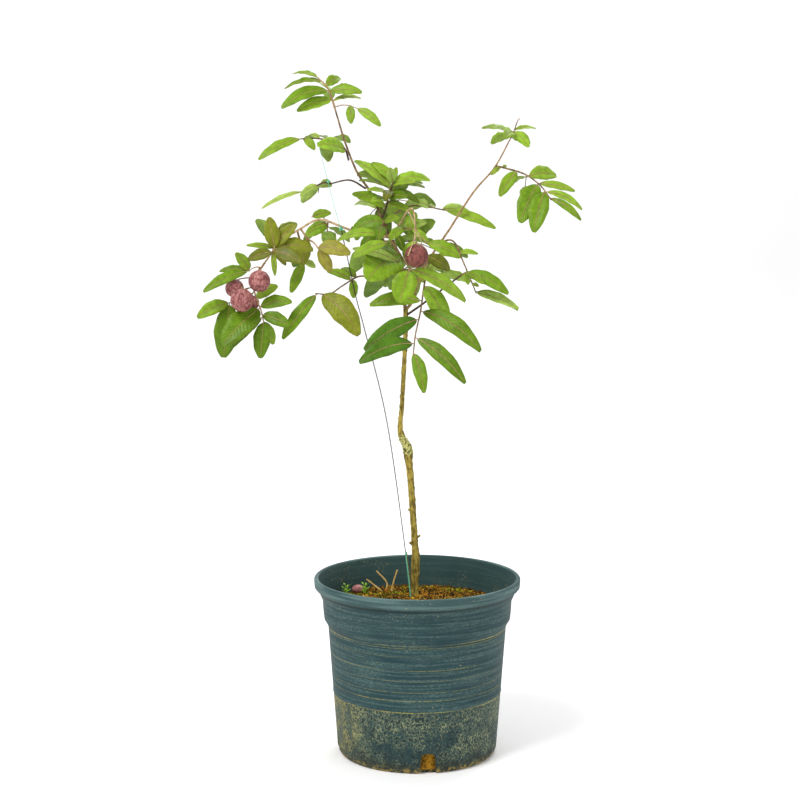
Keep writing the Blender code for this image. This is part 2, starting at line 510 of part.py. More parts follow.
def leaf_slab(frame, length, width, extra):
    """Corners and faces of a blade's stand-in for tests, from an eighth of its length on."""
    rows = (0.12, 0.28, 0.54, 0.84, 1.0)
    rise = LEAF_THICK / 2 + extra
    corners = []
    for u in rows:
        for w, up in ((-1, 0), (0, rise), (1, 0), (0, -rise)):
            spot = leaf_shape(u, w, up, length, width) + Vector((0, w * 2 * extra, 0))
            corners.append(frame @ spot)
    faces = []
    for row in range(len(rows) - 1):
        for k in range(4):
            a = 4 * row + k
            b = 4 * row + (k + 1) % 4
            faces.append((a, b, b + 4, a + 4))
    last = 4 * (len(rows) - 1)
    return corners, faces + [(0, 1, 2, 3), (last, last + 1, last + 2, last + 3)]


def ball_slab(centre, radius):
    """Corners and faces of a coarse ball, as a stand-in for tests."""
    bm = bmesh.new()
    bmesh.ops.create_icosphere(bm, subdivisions=2, radius=radius + MARGIN)
    corners = [centre + vert.co for vert in bm.verts]
    faces = [tuple(vert.index for vert in face.verts) for face in bm.faces]
    bm.free()
    return corners, faces


def free_of(slab, taken, own):
    """Whether a stand-in touches none of the ones that are already placed, its own rib apart."""
    tree = BVHTree.FromPolygons(*slab)
    return not any(other is not own and tree.overlap(other) for other in taken)


def leaf_frame(base, axis, face, roll):
    """The matrix that puts a blade's root at base, its length on axis and its face to face."""
    up = (face - axis * face.dot(axis)).normalized()
    up = Quaternion(axis, roll) @ up
    return Matrix.Translation(base) @ Matrix((axis, up.cross(axis), up)).transposed().to_4x4()


def find_room(base, flat, face, length, width, turns, taken, own):
    """The matrix of a leaflet that is lifted or lowered until it touches nothing, or None."""
    normal = (face - flat * face.dot(flat)).normalized()
    roll, pitch = turns
    for lift in LIFTS:
        rise = math.radians(pitch + lift)
        axis = flat * math.cos(rise) + normal * math.sin(rise)
        frame = leaf_frame(base, axis, face, math.radians(roll))
        if free_of(leaf_slab(frame, length, width, MARGIN), taken, own):
            taken.append(BVHTree.FromPolygons(*leaf_slab(frame, length, width, 0)))
            return frame
    return None


def grow_frond(rib, frond, rng, taken, own):
    """Frames and sizes of the leaflets that find room on a rib."""
    grown = []
    face = Vector(frond.face).normalized()
    pairs = (len(frond.turns) + 1) // 2
    for k, turn in enumerate(frond.turns):
        share = k // 2 / (pairs - 1) if pairs > 1 else 0
        part = frond.bare + (1 - frond.bare) * (1 - (1 - share) ** PAIR_CROWDING)
        stagger = PAIR_STAGGER * (1 if k % 2 else -1)
        base, run = along(rib, min(max(part + stagger, 0.02), 1))
        side = run.cross(face).normalized()
        flat = run * math.cos(math.radians(turn)) + side * math.sin(math.radians(turn))
        length = (frond.size[0] + (frond.size[1] - frond.size[0]) * share) * rng.uniform(0.95, 1.05)
        width = frond.width * rng.uniform(0.9, 1.1)
        turns = (rng.uniform(-ROLL, ROLL), rng.uniform(-PITCH, PITCH))
        frame = find_room(base, flat, face, length, width, turns, taken, own)
        if frame:
            grown.append((frame, length, width))
    return grown


def grow_leaf(rib, leaf, rng, taken, own):
    """Frame and size of a leaflet that has a place of its own, if it finds room."""
    base, _ = along(rib, leaf.at)
    reach = Vector(leaf.tip) - base
    bend = math.atan(LEAF_BEND)
    length = reach.length * math.cos(bend)
    turns = (rng.uniform(-OWN_ROLL, OWN_ROLL), math.degrees(bend))
    face = Vector(leaf.face).normalized()
    frame = find_room(base, reach.normalized(), face, length, leaf.width, turns, taken, own)
    return [(frame, length, leaf.width)] if frame else []


def tubes_of(mass):
    """The stem, the ribs and the fruit stalks of a mass, each as points and radii."""
    stem = smooth(mass.stem)
    tubes = [(stem, taper(len(stem), STEM_RADIUS, RIB_RADIUS))]
    for frond in mass.fronds:
        if frond.tip:
            start, _ = along(stem, frond.at)
            rib = arc(start, Vector(frond.tip), frond.arch)
            tubes.append((rib, taper(len(rib), RIB_RADIUS, RIB_TIP_RADIUS)))
    for fruit in mass.fruits:
        start, _ = along(stem, fruit.at)
        top = Vector(fruit.centre) + Vector((0, 0, 0.8 * fruit.radius))
        stalk = arc(start, top, STALK_ARCH)
        tubes.append((stalk, taper(len(stalk), RIB_RADIUS, RIB_RADIUS)))
    return tubes


def grow_leaves(name, mass, tubes, trees, taken):
    """Every leaflet of one mass: those that find room and stay in its space."""
    rng = random.Random(name)
    ribs = [(points, tree) for (points, _), tree in zip(tubes, trees)]
    middle, _ = along(ribs[0][0], 0.5)
    grown = []
    for leaf in mass.leaves:
        rib, own = ribs[leaf.rib]
        grown += grow_leaf(rib, leaf, rng, taken, own)
    tips = iter(ribs[1:])
    for frond in mass.fronds:
        rib, own = next(tips) if frond.tip else ribs[0]
        grown += grow_frond(rib, frond, rng, taken, own)
    return [leaf for leaf in grown
            if (leaf[0] @ leaf_shape(1, 0, 0, leaf[1], leaf[2]) - middle).length < mass.room]


def tube_mesh(points, radii, sides):
    """A closed tube along points, as one welded mesh."""
    curve = bpy.data.curves.new("tube", "CURVE")
    curve.dimensions = "3D"
    curve.bevel_depth = 1.0
    curve.bevel_resolution = sides // 2 - 2
    curve.use_fill_caps = True
    spline = curve.splines.new("POLY")
    spline.points.add(len(points) - 1)
    for knot, point, radius in zip(spline.points, points, radii):
        knot.co = (*point, 1.0)
        knot.radius = radius
    holder = bpy.data.objects.new("tube", curve)
    bpy.context.scene.collection.objects.link(holder)
    shape = bpy.data.meshes.new_from_object(
        holder.evaluated_get(bpy.context.evaluated_depsgraph_get()))
    bpy.data.objects.remove(holder)
    bpy.data.curves.remove(curve)
    bm = bmesh.new()
    bm.from_mesh(shape)
    bmesh.ops.remove_doubles(bm, verts=bm.verts, dist=0.00001)
    bmesh.ops.recalc_face_normals(bm, faces=bm.faces)
    bm.to_mesh(shape)
    bm.free()
    return shape


def leaf_mesh(frame, length, width):
    """One closed blade, a sphere of four sides drawn out flat, with its root sunk in the rib."""
    bm = bmesh.new()
    bmesh.ops.create_uvsphere(bm, u_segments=4, v_segments=len(LEAF_ROWS) - 1, radius=1)
    for vert in bm.verts:
        row = round((len(LEAF_ROWS) - 1) * math.acos(max(-1, min(1, vert.co.z))) / math.pi)
        u = LEAF_ROWS[row]
        ring = math.hypot(vert.co.x, vert.co.y) or 1
        w = round(vert.co.x / ring)
        rise = LEAF_THICK / 2 * round(vert.co.y / ring)
        vert.co = leaf_shape(u, w, rise, length, width)
    bmesh.ops.recalc_face_normals(bm, faces=bm.faces)
    bmesh.ops.transform(bm, matrix=frame, verts=bm.verts)
    shape = bpy.data.meshes.new("leaf")
    bm.to_mesh(shape)
    bm.free()
    return shape


def ball_mesh(centre, radius, flat=1.0):
    """One fruit, pressed flat if it has dropped."""
    bm = bmesh.new()
    bmesh.ops.create_uvsphere(bm, u_segments=10, v_segments=7, radius=radius)
    bmesh.ops.scale(bm, vec=(1, 1, flat), verts=bm.verts)
    bmesh.ops.translate(bm, vec=centre, verts=bm.verts)
    shape = bpy.data.meshes.new("fruit")
    bm.to_mesh(shape)
    bm.free()
    return shape


def add(name, shape, group, finish):
    """An object for a finished mesh."""
    piece = bpy.data.objects.new(name, shape)
    shape.materials.clear()
    shape.materials.append(finish)
    group.objects.link(piece)
    return piece


def join_all(name, shapes, group, finish):
    """One closed body from overlapping meshes, by one Boolean union on a collection."""
    others = collection(name + "_pieces")
    for k, shape in enumerate(shapes[1:]):
        others.objects.link(bpy.data.objects.new(f"{name}_piece_{k}", shape))
    piece = add(name, shapes[0], group, finish)
    union = piece.modifiers.new("Join", "BOOLEAN")
    union.operation = "UNION"
    union.operand_type = "COLLECTION"
    union.collection = others
    union.solver = "EXACT"
    shape = bpy.data.meshes.new_from_object(
        piece.evaluated_get(bpy.context.evaluated_depsgraph_get()))
    piece.modifiers.clear()
    bm = bmesh.new()
    bm.from_mesh(shape)
    bmesh.ops.dissolve_verts(bm, verts=[vert for vert in bm.verts if len(vert.link_edges) == 2])
    bm.to_mesh(shape)
    bm.free()
    piece.data = shape
    for loose in list(others.objects):
        bpy.data.objects.remove(loose)
    bpy.data.collections.remove(others)
    return piece


def clear_start(points, radii, others):
    """Shorten a tube from its start until its first ring stands clear of the others."""
    length = sum((b - a).length for a, b in zip(points, points[1:]))
    for k in range(int(CLEAR_MOST / CLEAR_STEP)):
        place, run = along(points, k * CLEAR_STEP / length)
        across = run.orthogonal().normalized()
        spots = [place + Quaternion(run, turn * math.pi / 4) @ across * radii[0] * share
                 for turn in range(8) for share in (0, 0.5, 1)]
        if all(stands_clear(spot, other) for spot in spots for other in others):
            rest = [p for p in points[1:] if (p - place).dot(run) > 0.001]
            return [place] + rest
    return points


def stands_clear(spot, other):
    """Whether a spot lies outside a solid, at least the gap away."""
    way = Vector((0.31, 0.17, 0.94)).normalized()
    crossings = 0
    hit = other.ray_cast(spot, way)[0]
    while hit:
        crossings += 1
        hit = other.ray_cast(hit + way * 0.000001, way)[0]
    return crossings % 2 == 0 and other.find_nearest(spot)[3] > GAP


def turned(name, profile, group, finish):
    """A shape turned round the Z axis by a Screw, from a profile that ends on the axis."""
    bm = bmesh.new()
    verts = [bm.verts.new((r, 0, z)) for r, z in profile]
    for a, b in zip(verts, verts[1:]):
        bm.edges.new((a, b))
    shape = bpy.data.meshes.new(name)
    bm.to_mesh(shape)
    bm.free()
    piece = add(name, shape, group, finish)
    screw = piece.modifiers.new("Turn", "SCREW")
    screw.steps = POT_SIDES
    screw.render_steps = POT_SIDES
    screw.use_merge_vertices = True
    screw.merge_threshold = 0.00001
    screw.use_smooth_shade = True
    return piece


def pot_wall():
    """The pot's outer outline from under the lip down to the foot, as radius and height."""
    slope = (BODY_RADIUS - FOOT_RADIUS) / (BODY_TOP - FOOT_ROUND)
    heights = (BODY_TOP, *BODY_RINGS, FOOT_ROUND)
    body = [(FOOT_RADIUS + slope * (z - FOOT_ROUND), z) for z in heights]
    collar = [(THROAT_RADIUS, THROAT_HEIGHT), (COLLAR_RADIUS, COLLAR_TOP),
              (COLLAR_FOOT_RADIUS, COLLAR_FOOT)]
    return collar + body


def make_pot(group, cutters, finish):
    """The pot: one turned shell with drainage arches at its foot."""
    outside = [(RIM_RADIUS - 0.002, POT_HEIGHT), (RIM_RADIUS, POT_HEIGHT - 0.002),
               (RIM_RADIUS - 0.0007, POT_HEIGHT - LIP_HEIGHT)]
    outside += pot_wall() + [(FOOT_RADIUS - 0.005, 0), (0, 0)]
    inside = [(r - POT_WALL, z) for r, z in pot_wall()[:-1]]
    inside = [(RIM_RADIUS - 0.005, POT_HEIGHT - 0.001)] + inside
    inside += [(FOOT_RADIUS - POT_WALL - 0.002, POT_FLOOR + 0.002), (FOOT_RADIUS - 0.009, POT_FLOOR),
               (0, POT_FLOOR)]
    pot = turned("pot", inside[::-1] + outside, group, finish)
    for k in range(DRAIN_COUNT):
        angle = math.radians(DRAIN_ANGLE + 360 * k / DRAIN_COUNT)
        bm = bmesh.new()
        bmesh.ops.create_cone(bm, cap_ends=True, segments=DRAIN_SIDES, radius1=0.5, radius2=0.5, depth=1)
        bmesh.ops.scale(bm, vec=(DRAIN_WIDTH, DRAIN_WIDTH, 2 * DRAIN_DEPTH), verts=bm.verts)
        for vert in bm.verts:
            if vert.co.x > 0.001:
                vert.co = (DRAIN_HEIGHT, vert.co.y * DRAIN_SPREAD, vert.co.z)
        shape = bpy.data.meshes.new("drain")
        bm.to_mesh(shape)
        bm.free()
        cutter = bpy.data.objects.new(f"drain_cutter_{k}", shape)
        middle = (FOOT_RADIUS, 0, DRAIN_HEIGHT - DRAIN_WIDTH / 2)
        place = Matrix.Rotation(angle, 4, "Z") @ Matrix.Translation(middle)
        cutter.matrix_world = place @ Matrix.Rotation(math.pi / 2, 4, "Y")
        cutter.hide_render = True
        cutter.display_type = "WIRE"
        cutters.objects.link(cutter)
        cut = pot.modifiers.new(f"Drain {k}", "BOOLEAN")
        cut.object = cutter
        cut.solver = "EXACT"
    return pot


def wall_radius(z):
    """The pot's inner radius at a height."""
    line = [(r - POT_WALL, h) for r, h in pot_wall()]
    for (r1, z1), (r2, z2) in zip(line, line[1:]):
        if z2 <= z <= z1:
            return r2 + (r1 - r2) * (z - z2) / (z1 - z2)
    return line[-1][0]


def soil_height(x, y):
    """The height of the heaped soil at a place, and its slope there."""
    line = list(SOIL_HEAP) + [(wall_radius(SOIL_EDGE) - WALL_GAP, SOIL_EDGE)]
    radius = math.hypot(x, y)
    for (r1, z1), (r2, z2) in zip(line, line[1:]):
        if radius <= r2:
            slope = (z2 - z1) / (r2 - r1)
            return z1 + slope * (radius - r1), slope
    return line[-1][1], 0


def make_soil(group, finish):
    """The soil that fills the pot, heaped towards the trunk."""
    top = list(SOIL_HEAP) + [(wall_radius(SOIL_EDGE) - WALL_GAP, SOIL_EDGE)]
    heights = (COLLAR_FOOT, BODY_TOP, *BODY_RINGS)
    side = [(wall_radius(z) - WALL_GAP, z) for z in heights]
    foot = [(FOOT_RADIUS - POT_WALL - 0.002 - WALL_GAP, POT_FLOOR + 0.003),
            (FOOT_RADIUS - 0.0095, POT_FLOOR + WALL_GAP), (0, POT_FLOOR + WALL_GAP)]
    return turned("soil", top + side + foot, group, finish)


def make_trunk(group, finish):
    """The trunk with its graft swelling and pruned spurs."""
    points = smooth([knot[:3] for knot in TRUNK])
    radii = []
    for a, b in zip(TRUNK, TRUNK[1:]):
        radii += [a[3], (a[3] + b[3]) / 2]
    radii.append(TRUNK[-1][3])
    points[1] = points[0].lerp(points[2], 0.5)
    shapes = [tube_mesh(points, radii, TRUNK_SIDES)]
    for part, way, length in SPURS:
        start, _ = along(points, part)
        end = start + Vector(way).normalized() * length
        shapes.append(tube_mesh([start, end], [SPUR_THICK, SPUR_THIN], LIMB_SIDES))
    return join_all("trunk", shapes, group, finish)


def make_litter(group, wood, skin):
    """The dry stubs and the dropped fruit that the soil carries."""
    for name, (foot, *rest) in STUBS.items():
        height, slope = soil_height(*foot)
        base = height + GAP + abs(slope) * STUB_RADIUS
        points = [Vector((*foot, base)), Vector((*foot, base + 2 * STUB_RADIUS))]
        points += [Vector(point) for point in rest]
        add(name, tube_mesh(points, taper(len(points), STUB_RADIUS, 0.7 * STUB_RADIUS), LIMB_SIDES),
            group, wood)
    height, slope = soil_height(*FALLEN_FRUIT)
    rise = FALLEN_RADIUS * math.hypot(FALLEN_FLAT, slope) + GAP * math.hypot(1, slope)
    fallen = ball_mesh(Vector((*FALLEN_FRUIT, height + rise)), FALLEN_RADIUS, FALLEN_FLAT)
    add("fallen_fruit", fallen, group, skin)


def solid_tree(piece):
    """The search tree of an object's evaluated mesh."""
    shape = piece.evaluated_get(bpy.context.evaluated_depsgraph_get()).to_mesh()
    corners = [piece.matrix_world @ vert.co for vert in shape.vertices]
    return BVHTree.FromPolygons(corners, [tuple(face.vertices) for face in shape.polygons])


def main():
    for old in list(bpy.data.objects):
        bpy.data.objects.remove(old)
    group = collection("Potted longan tree")
    cutters = collection("Cutters")
    plastic = material("Green plastic", (0.016, 0.055, 0.047), 0.42)
    earth = material("Potting soil", (0.16, 0.075, 0.030), 0.95)
    bark = material("Bark", (0.20, 0.145, 0.075), 0.85)
    foliage = material("Foliage", (0.115, 0.25, 0.020), 0.5)
    skin = material("Fruit skin", (0.20, 0.075, 0.075), 0.7)
    string = material("Green twine", (0.03, 0.22, 0.13), 0.6)

    make_pot(group, cutters, plastic)
    make_soil(group, earth)
    make_litter(group, bark, skin)
    trunk = make_trunk(group, bark)
    solids = [solid_tree(trunk)]
    taken = list(solids)
    for name, limb in LIMBS.items():
        points = smooth(limb.route, 3)
        radii = taper(len(points), limb.thick, limb.thin)
        points = clear_start(points, radii, solids)
        radii = taper(len(points), limb.thick, limb.thin)
        piece = add(name, tube_mesh(points, radii, LIMB_SIDES), group, bark)
        solids.append(solid_tree(piece))
        taken.append(BVHTree.FromPolygons(*ring_slab(points, radii, 0)))
    strand = smooth(TWINE)
    radii = [TWINE_PAIR_RADIUS if spot.z < TWINE_PAIR_TOP else TWINE_RADIUS for spot in strand]
    add("twine", tube_mesh(strand, radii, LIMB_SIDES), group, string)
    taken.append(BVHTree.FromPolygons(*ring_slab(strand, radii, GAP)))
    frames = {name: tubes_of(mass) for name, mass in MASSES.items()}
    trees = {}
    for name, tubes in frames.items():
        trees[name] = [BVHTree.FromPolygons(*ring_slab(points, radii, 0)) for points, radii in tubes]
        taken += trees[name]
        taken += [BVHTree.FromPolygons(*ball_slab(Vector(fruit.centre), fruit.radius))
                  for fruit in MASSES[name].fruits]
    for name, tubes in frames.items():
        leaves = grow_leaves(name, MASSES[name], tubes, trees[name], taken)
        stem, radii = tubes[0]
        stem = clear_start(stem, radii, solids)
        shapes = [tube_mesh(stem, taper(len(stem), STEM_RADIUS, RIB_RADIUS), STEM_SIDES)]
        shapes += [tube_mesh(points, radii, STEM_SIDES) for points, radii in tubes[1:]]
        shapes += [leaf_mesh(*leaf) for leaf in leaves]
        shapes += [ball_mesh(Vector(fruit.centre), fruit.radius) for fruit in MASSES[name].fruits]
        join_all(name, shapes, group, foliage)


main()
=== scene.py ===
# %% [markdown]
# # A potted longan tree, dressed for its portrait
#
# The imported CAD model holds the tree's true sizes: a nursery pot, a thin grafted trunk, five boughs and
# two dozen sprays of compound leaves. This notebook keeps those places and gives every surface its real
# finish. Each step says what the thing is on the real tree, how it could be made, and why it is made so.

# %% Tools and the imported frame
import json
import math
import random
from collections import namedtuple

import bmesh
import bpy
from mathutils import Matrix, Quaternion, Vector, noise
from mathutils.bvhtree import BVHTree

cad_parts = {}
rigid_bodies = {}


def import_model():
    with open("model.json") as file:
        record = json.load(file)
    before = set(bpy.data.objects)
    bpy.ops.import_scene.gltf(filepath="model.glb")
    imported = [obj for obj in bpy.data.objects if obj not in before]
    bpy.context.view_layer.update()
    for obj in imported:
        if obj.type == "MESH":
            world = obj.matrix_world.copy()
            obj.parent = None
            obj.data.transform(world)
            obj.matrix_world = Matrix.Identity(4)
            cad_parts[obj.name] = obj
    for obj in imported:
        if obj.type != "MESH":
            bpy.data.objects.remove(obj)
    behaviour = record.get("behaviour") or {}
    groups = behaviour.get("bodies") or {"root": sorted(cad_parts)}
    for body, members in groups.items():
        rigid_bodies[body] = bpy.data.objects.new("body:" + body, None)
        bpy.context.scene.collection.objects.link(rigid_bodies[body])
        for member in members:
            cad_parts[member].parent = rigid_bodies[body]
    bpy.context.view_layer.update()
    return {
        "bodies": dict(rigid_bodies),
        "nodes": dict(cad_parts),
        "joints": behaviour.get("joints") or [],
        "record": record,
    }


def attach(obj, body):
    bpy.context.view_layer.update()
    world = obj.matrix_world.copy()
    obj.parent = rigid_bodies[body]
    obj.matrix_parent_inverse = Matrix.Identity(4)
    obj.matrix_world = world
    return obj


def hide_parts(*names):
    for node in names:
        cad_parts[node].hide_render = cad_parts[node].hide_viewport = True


for old in list(bpy.data.objects):
    bpy.data.objects.remove(old)
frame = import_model()
nodes = frame["nodes"]

# %% [markdown]
# ## Where we stand
#
# The photograph looks slightly down on the pot, so its rim shows as a thin ellipse. Fitting that ellipse
# gives a camera 2.6 m away at the height of the crown, tipped down by 7.4 degrees, with a long lens. A
# long lens keeps the pot from bulging towards us.

# %% Camera
CAMERA_PLACE = (-0.025, -2.6, 0.856)
CAMERA_DOWN = 7.4
CAMERA_LENS = 82.08

bpy.ops.object.select_all(action="DESELECT")
bpy.ops.object.camera_add(location=CAMERA_PLACE, rotation=(math.radians(90 - CAMERA_DOWN), 0, 0))
camera = bpy.context.object
camera.data.lens = CAMERA_LENS
camera.data.sensor_width = 36
bpy.context.scene.camera = camera
print("the camera looks down by", CAMERA_DOWN, "degrees")

# %% [markdown]
# ## Soft studio light on a pale sweep
#
# Daylight under a bright sky has no hard shadows: the sky itself is the lamp. A nearly white world does
# that. One broad lamp high on the left models the leaves, a weaker one on the right opens the shadows.
# The floor curves up into a wall, as in a photographer's studio, so no horizon cuts behind the tree, and
# a lamp behind the tree lights only that wall.

# %% World and lamps
world = bpy.data.worlds.new("Bright sky")
world.use_nodes = True
world.node_tree.nodes["Background"].inputs["Color"].default_value = (1.0, 1.0, 1.0, 1.0)
world.node_tree.nodes["Background"].inputs["Strength"].default_value = 0.62
bpy.context.scene.world = world
bpy.context.scene.view_settings.view_transform = "Standard"

CROWN = Vector((0, 0, 0.6))
WALL = Vector((0, 3.7, 1.9))
LAMPS = {
    "key": ((-1.5, -1.7, 2.9), 1.2, 82, CROWN),
    "fill": ((1.8, -1.6, 1.3), 1.4, 12, CROWN),
    "back": ((0.7, 1.8, 2.4), 1.4, 34, CROWN),
    "wall": ((0.0, 1.4, 2.6), 2.0, 14, WALL),
}
for name, (place, size, power, aim) in LAMPS.items():
    turn = (aim - Vector(place)).to_track_quat("-Z", "Y").to_euler()
    bpy.ops.object.light_add(type="AREA", location=place, rotation=turn)
    lamp = bpy.context.object
    lamp.name = name + "_lamp"
    lamp.data.size = size
    lamp.data.energy = power
print(len(LAMPS), "lamps")

# %% The sweep
SWEEP_WIDTH = 12.0
SWEEP_FRONT = -4.0
SWEEP_BACK = 2.5
SWEEP_TURN = 1.2

bpy.ops.object.select_all(action="DESELECT")
bpy.ops.mesh.primitive_plane_add(size=1)
sweep = bpy.context.object
sweep.name = "sweep"
bpy.ops.object.mode_set(mode="EDIT")
bpy.ops.mesh.select_all(action="SELECT")
bpy.ops.transform.resize(value=(SWEEP_WIDTH, SWEEP_BACK - SWEEP_FRONT, 1))
bpy.ops.transform.translate(value=(0, (SWEEP_BACK + SWEEP_FRONT) / 2, 0))
bpy.ops.mesh.select_all(action="DESELECT")
bpy.ops.object.mode_set(mode="OBJECT")
for edge in sweep.data.edges:
    edge.select = all(sweep.data.vertices[k].co.y > 0 for k in edge.vertices)
bpy.ops.object.mode_set(mode="EDIT")
bpy.ops.mesh.select_mode(type="EDGE")
for step in range(8):
    low = math.pi / 2 * step / 8
    high = math.pi / 2 * (step + 1) / 8
    move = (0, SWEEP_TURN * (math.sin(high) - math.sin(low)), SWEEP_TURN * (math.cos(low) - math.cos(high)))
    bpy.ops.mesh.extrude_region_move(TRANSFORM_OT_translate={"value": move})
bpy.ops.mesh.extrude_region_move(TRANSFORM_OT_translate={"value": (0, 0, 4)})
bpy.ops.object.mode_set(mode="OBJECT")
bpy.ops.object.shade_smooth()
pale = bpy.data.materials.new("Pale sweep")
pale.use_nodes = True
pale.node_tree.nodes["Principled BSDF"].inputs["Base Color"].default_value = (0.96, 0.96, 0.96, 1)
pale.node_tree.nodes["Principled BSDF"].inputs["Roughness"].default_value = 0.9
sweep.data.materials.append(pale)
print("the sweep has", len(sweep.data.polygons), "faces")

# %% [markdown]
# ## Writing shaders as sums
#
# A finish is a formula: how much dirt, how high the bump, which colour where. Nodes drawn by hand get
# tangled, so a small class wraps a socket and lets Python's own signs add the Math nodes. Colours and
# places go through other nodes, which one method makes.

# %% A socket that takes part in sums
class Value:
    """One number that changes over a surface."""

    def __init__(self, finish, socket):
        self.finish = finish
        self.socket = socket

    def __add__(self, other):
        return self.finish.maths("ADD", self, other)

    def __sub__(self, other):
        return self.finish.maths("SUBTRACT", self, other)

    def __rsub__(self, other):
        return self.finish.maths("SUBTRACT", other, self)

    def __mul__(self, other):
        return self.finish.maths("MULTIPLY", self, other)

    __radd__ = __add__
    __rmul__ = __mul__

    def ease(self, low, high):
        """Nothing below low, one above high, and a smooth rise between."""
        return self.finish.node("ShaderNodeMapRange", {"interpolation_type": "SMOOTHSTEP"},
                                {"Value": self, "From Min": low, "From Max": high})


# %% A finish
class Finish:
    """A material whose nodes are made by short calls."""

    def __init__(self, name, roughness=0.6, shine=0.3):
        self.material = bpy.data.materials.new(name)
        self.material.use_nodes = True
        self.tree = self.material.node_tree
        self.shader = self.tree.nodes["Principled BSDF"]
        self.shader.inputs["Roughness"].default_value = roughness
        self.shader.inputs["Specular IOR Level"].default_value = shine
        self.place = self.node("ShaderNodeTexCoord", {}, {}, "Object").socket

    def node(self, kind, settings, inputs, output=0):
        """One node: its settings first, then values or links for its sockets."""
        made = self.tree.nodes.new(kind)
        for name, value in settings.items():
            setattr(made, name, value)
        for name, value in inputs.items():
            self.feed(made.inputs[name], value)
        return Value(self, made.outputs[output])

    def feed(self, socket, value):
        """A link where the value is one, and otherwise the socket's own value."""
        if isinstance(value, Value):
            value = value.socket
        if isinstance(value, bpy.types.NodeSocket):
            self.tree.links.new(value, socket)
        else:
            socket.default_value = value

    def maths(self, operation, *values):
        return self.node("ShaderNodeMath", {"operation": operation}, dict(enumerate(values)))

    def height(self):
        """How far above the ground."""
        return self.node("ShaderNodeSeparateXYZ", {}, {0: self.place}, "Z")

    def sideways(self):
        """How far to the right of the middle."""
        return self.node("ShaderNodeSeparateXYZ", {}, {0: self.place}, "X")

    def chart(self):
        """The two coordinates that the piece carries for itself."""
        spot = self.node("ShaderNodeTexCoord", {}, {}, "UV")
        return [self.node("ShaderNodeSeparateXYZ", {}, {0: spot}, axis) for axis in "XY"]

    def cloud(self, scale, detail=3, stretch=(1, 1, 1)):
        """Soft noise from 0 to 1, stretched along the axes."""
        spot = self.node("ShaderNodeMapping", {}, {"Vector": self.place, "Scale": stretch})
        return self.node("ShaderNodeTexNoise", {}, {"Vector": spot, "Scale": scale, "Detail": detail})

    def cells(self, scale, feature="F1"):
        """The distance to the nearest of many scattered spots."""
        return self.node("ShaderNodeTexVoronoi", {"feature": feature},
                         {"Vector": self.place, "Scale": scale}, "Distance")

    def blend(self, amount, low, high):
        """From one colour to another."""
        low = low if isinstance(low, Value) else (*low, 1.0)
        high = high if isinstance(high, Value) else (*high, 1.0)
        return self.node("ShaderNodeMix", {"data_type": "RGBA"},
                         {0: amount, 6: low, 7: high}, 2)

    def done(self, colour, roughness=None, relief=None, depth=0.001):
        """Colour, roughness and relief plugged into the shader."""
        self.feed(self.shader.inputs["Base Color"], colour)
        if roughness is not None:
            self.feed(self.shader.inputs["Roughness"], roughness)
        if relief is not None:
            bump = self.node("ShaderNodeBump", {}, {"Height": relief, "Distance": depth})
            self.feed(self.shader.inputs["Normal"], bump)
        return self.material


print("finishes are ready to mix")

# %% [markdown]
# ## How the tree grows
#
# The CAD model grows by one rule, and it is written again here, so that every fine leaf lies where its
# coarse one lies. A spray has a stem. Compound leaves leave the stem on ribs. A leaflet that shows clearly
# has a place of its own. The others stand in staggered pairs along a rib, and seeded chance gives each a
# length, a roll and a pitch. Every leaflet is lifted or lowered until it touches nothing.

# %% Sizes of the tree
# Clearance between neighbouring solids, and the slightly larger one that level faces keep
GAP = 0.0003
WALL_GAP = 0.0005
Limb = namedtuple("Limb", "route thick thin")
LIMBS = {
    "leader": Limb(((-0.0175, 0.020, 0.6486), (-0.022, 0.024, 0.689), (-0.026, 0.028, 0.724),
                    (-0.045, 0.030, 0.761), (-0.065, 0.024, 0.811), (-0.086, 0.018, 0.843),
                    (-0.103, 0.010, 0.886), (-0.117, 0.004, 0.933)), 0.0030, 0.0013),
    "right_bough": Limb(((-0.017, 0.020, 0.646), (-0.007, 0.022, 0.660), (0.004, 0.030, 0.696),
                         (0.018, 0.036, 0.720), (0.047, 0.044, 0.762), (0.081, 0.054, 0.814),
                         (0.112, 0.060, 0.850), (0.135, 0.060, 0.892)), 0.0026, 0.0011),
    "lower_right_bough": Limb(((-0.017, 0.020, 0.638), (0.010, 0.006, 0.658),
                               (0.060, 0.000, 0.696)), 0.0019, 0.0013),
    "left_bough": Limb(((-0.041, 0.030, 0.752), (-0.065, 0.014, 0.750), (-0.103, -0.008, 0.765),
                        (-0.138, -0.020, 0.777), (-0.164, -0.032, 0.765), (-0.193, -0.044, 0.746),
                        (-0.213, -0.052, 0.719)), 0.0022, 0.0014),
    "drooping_branch": Limb(((-0.074, 0.022, 0.820), (-0.096, 0.006, 0.832),
                             (-0.124, -0.006, 0.827)), 0.0016, 0.0011),
}
# Green twine that holds the leader's side shoot and the left bough down to the trunk's foot
TWINE = ((-0.1402, -0.0050, 0.8836), (-0.1265, -0.0105, 0.8303), (-0.1126, -0.0132, 0.7763),
         (-0.1084, -0.0137, 0.7637), (-0.0972, -0.0141, 0.7129), (-0.0875, -0.0141, 0.6675),
         (-0.0749, -0.0105, 0.6188), (-0.0501, -0.0040, 0.5188), (-0.0351, -0.0010, 0.4326),
         (-0.0170, 0.0030, 0.2949), (-0.0095, 0.0050, 0.2282))
TWINE_RADIUS = 0.0008
# Below this height a second strand lies beside it
TWINE_PAIR_TOP = 0.300
TWINE_PAIR_RADIUS = 0.0013
# Leaves: how thick a blade is, how it folds along its rib and bends to its tip
LEAF_THICK = 0.0018
LEAF_FOLD = 0.20
LEAF_BEND = 0.13
LEAF_STALK = 0.05
ROOT_SINK = -0.0008
ROOT_HALF = 0.0013
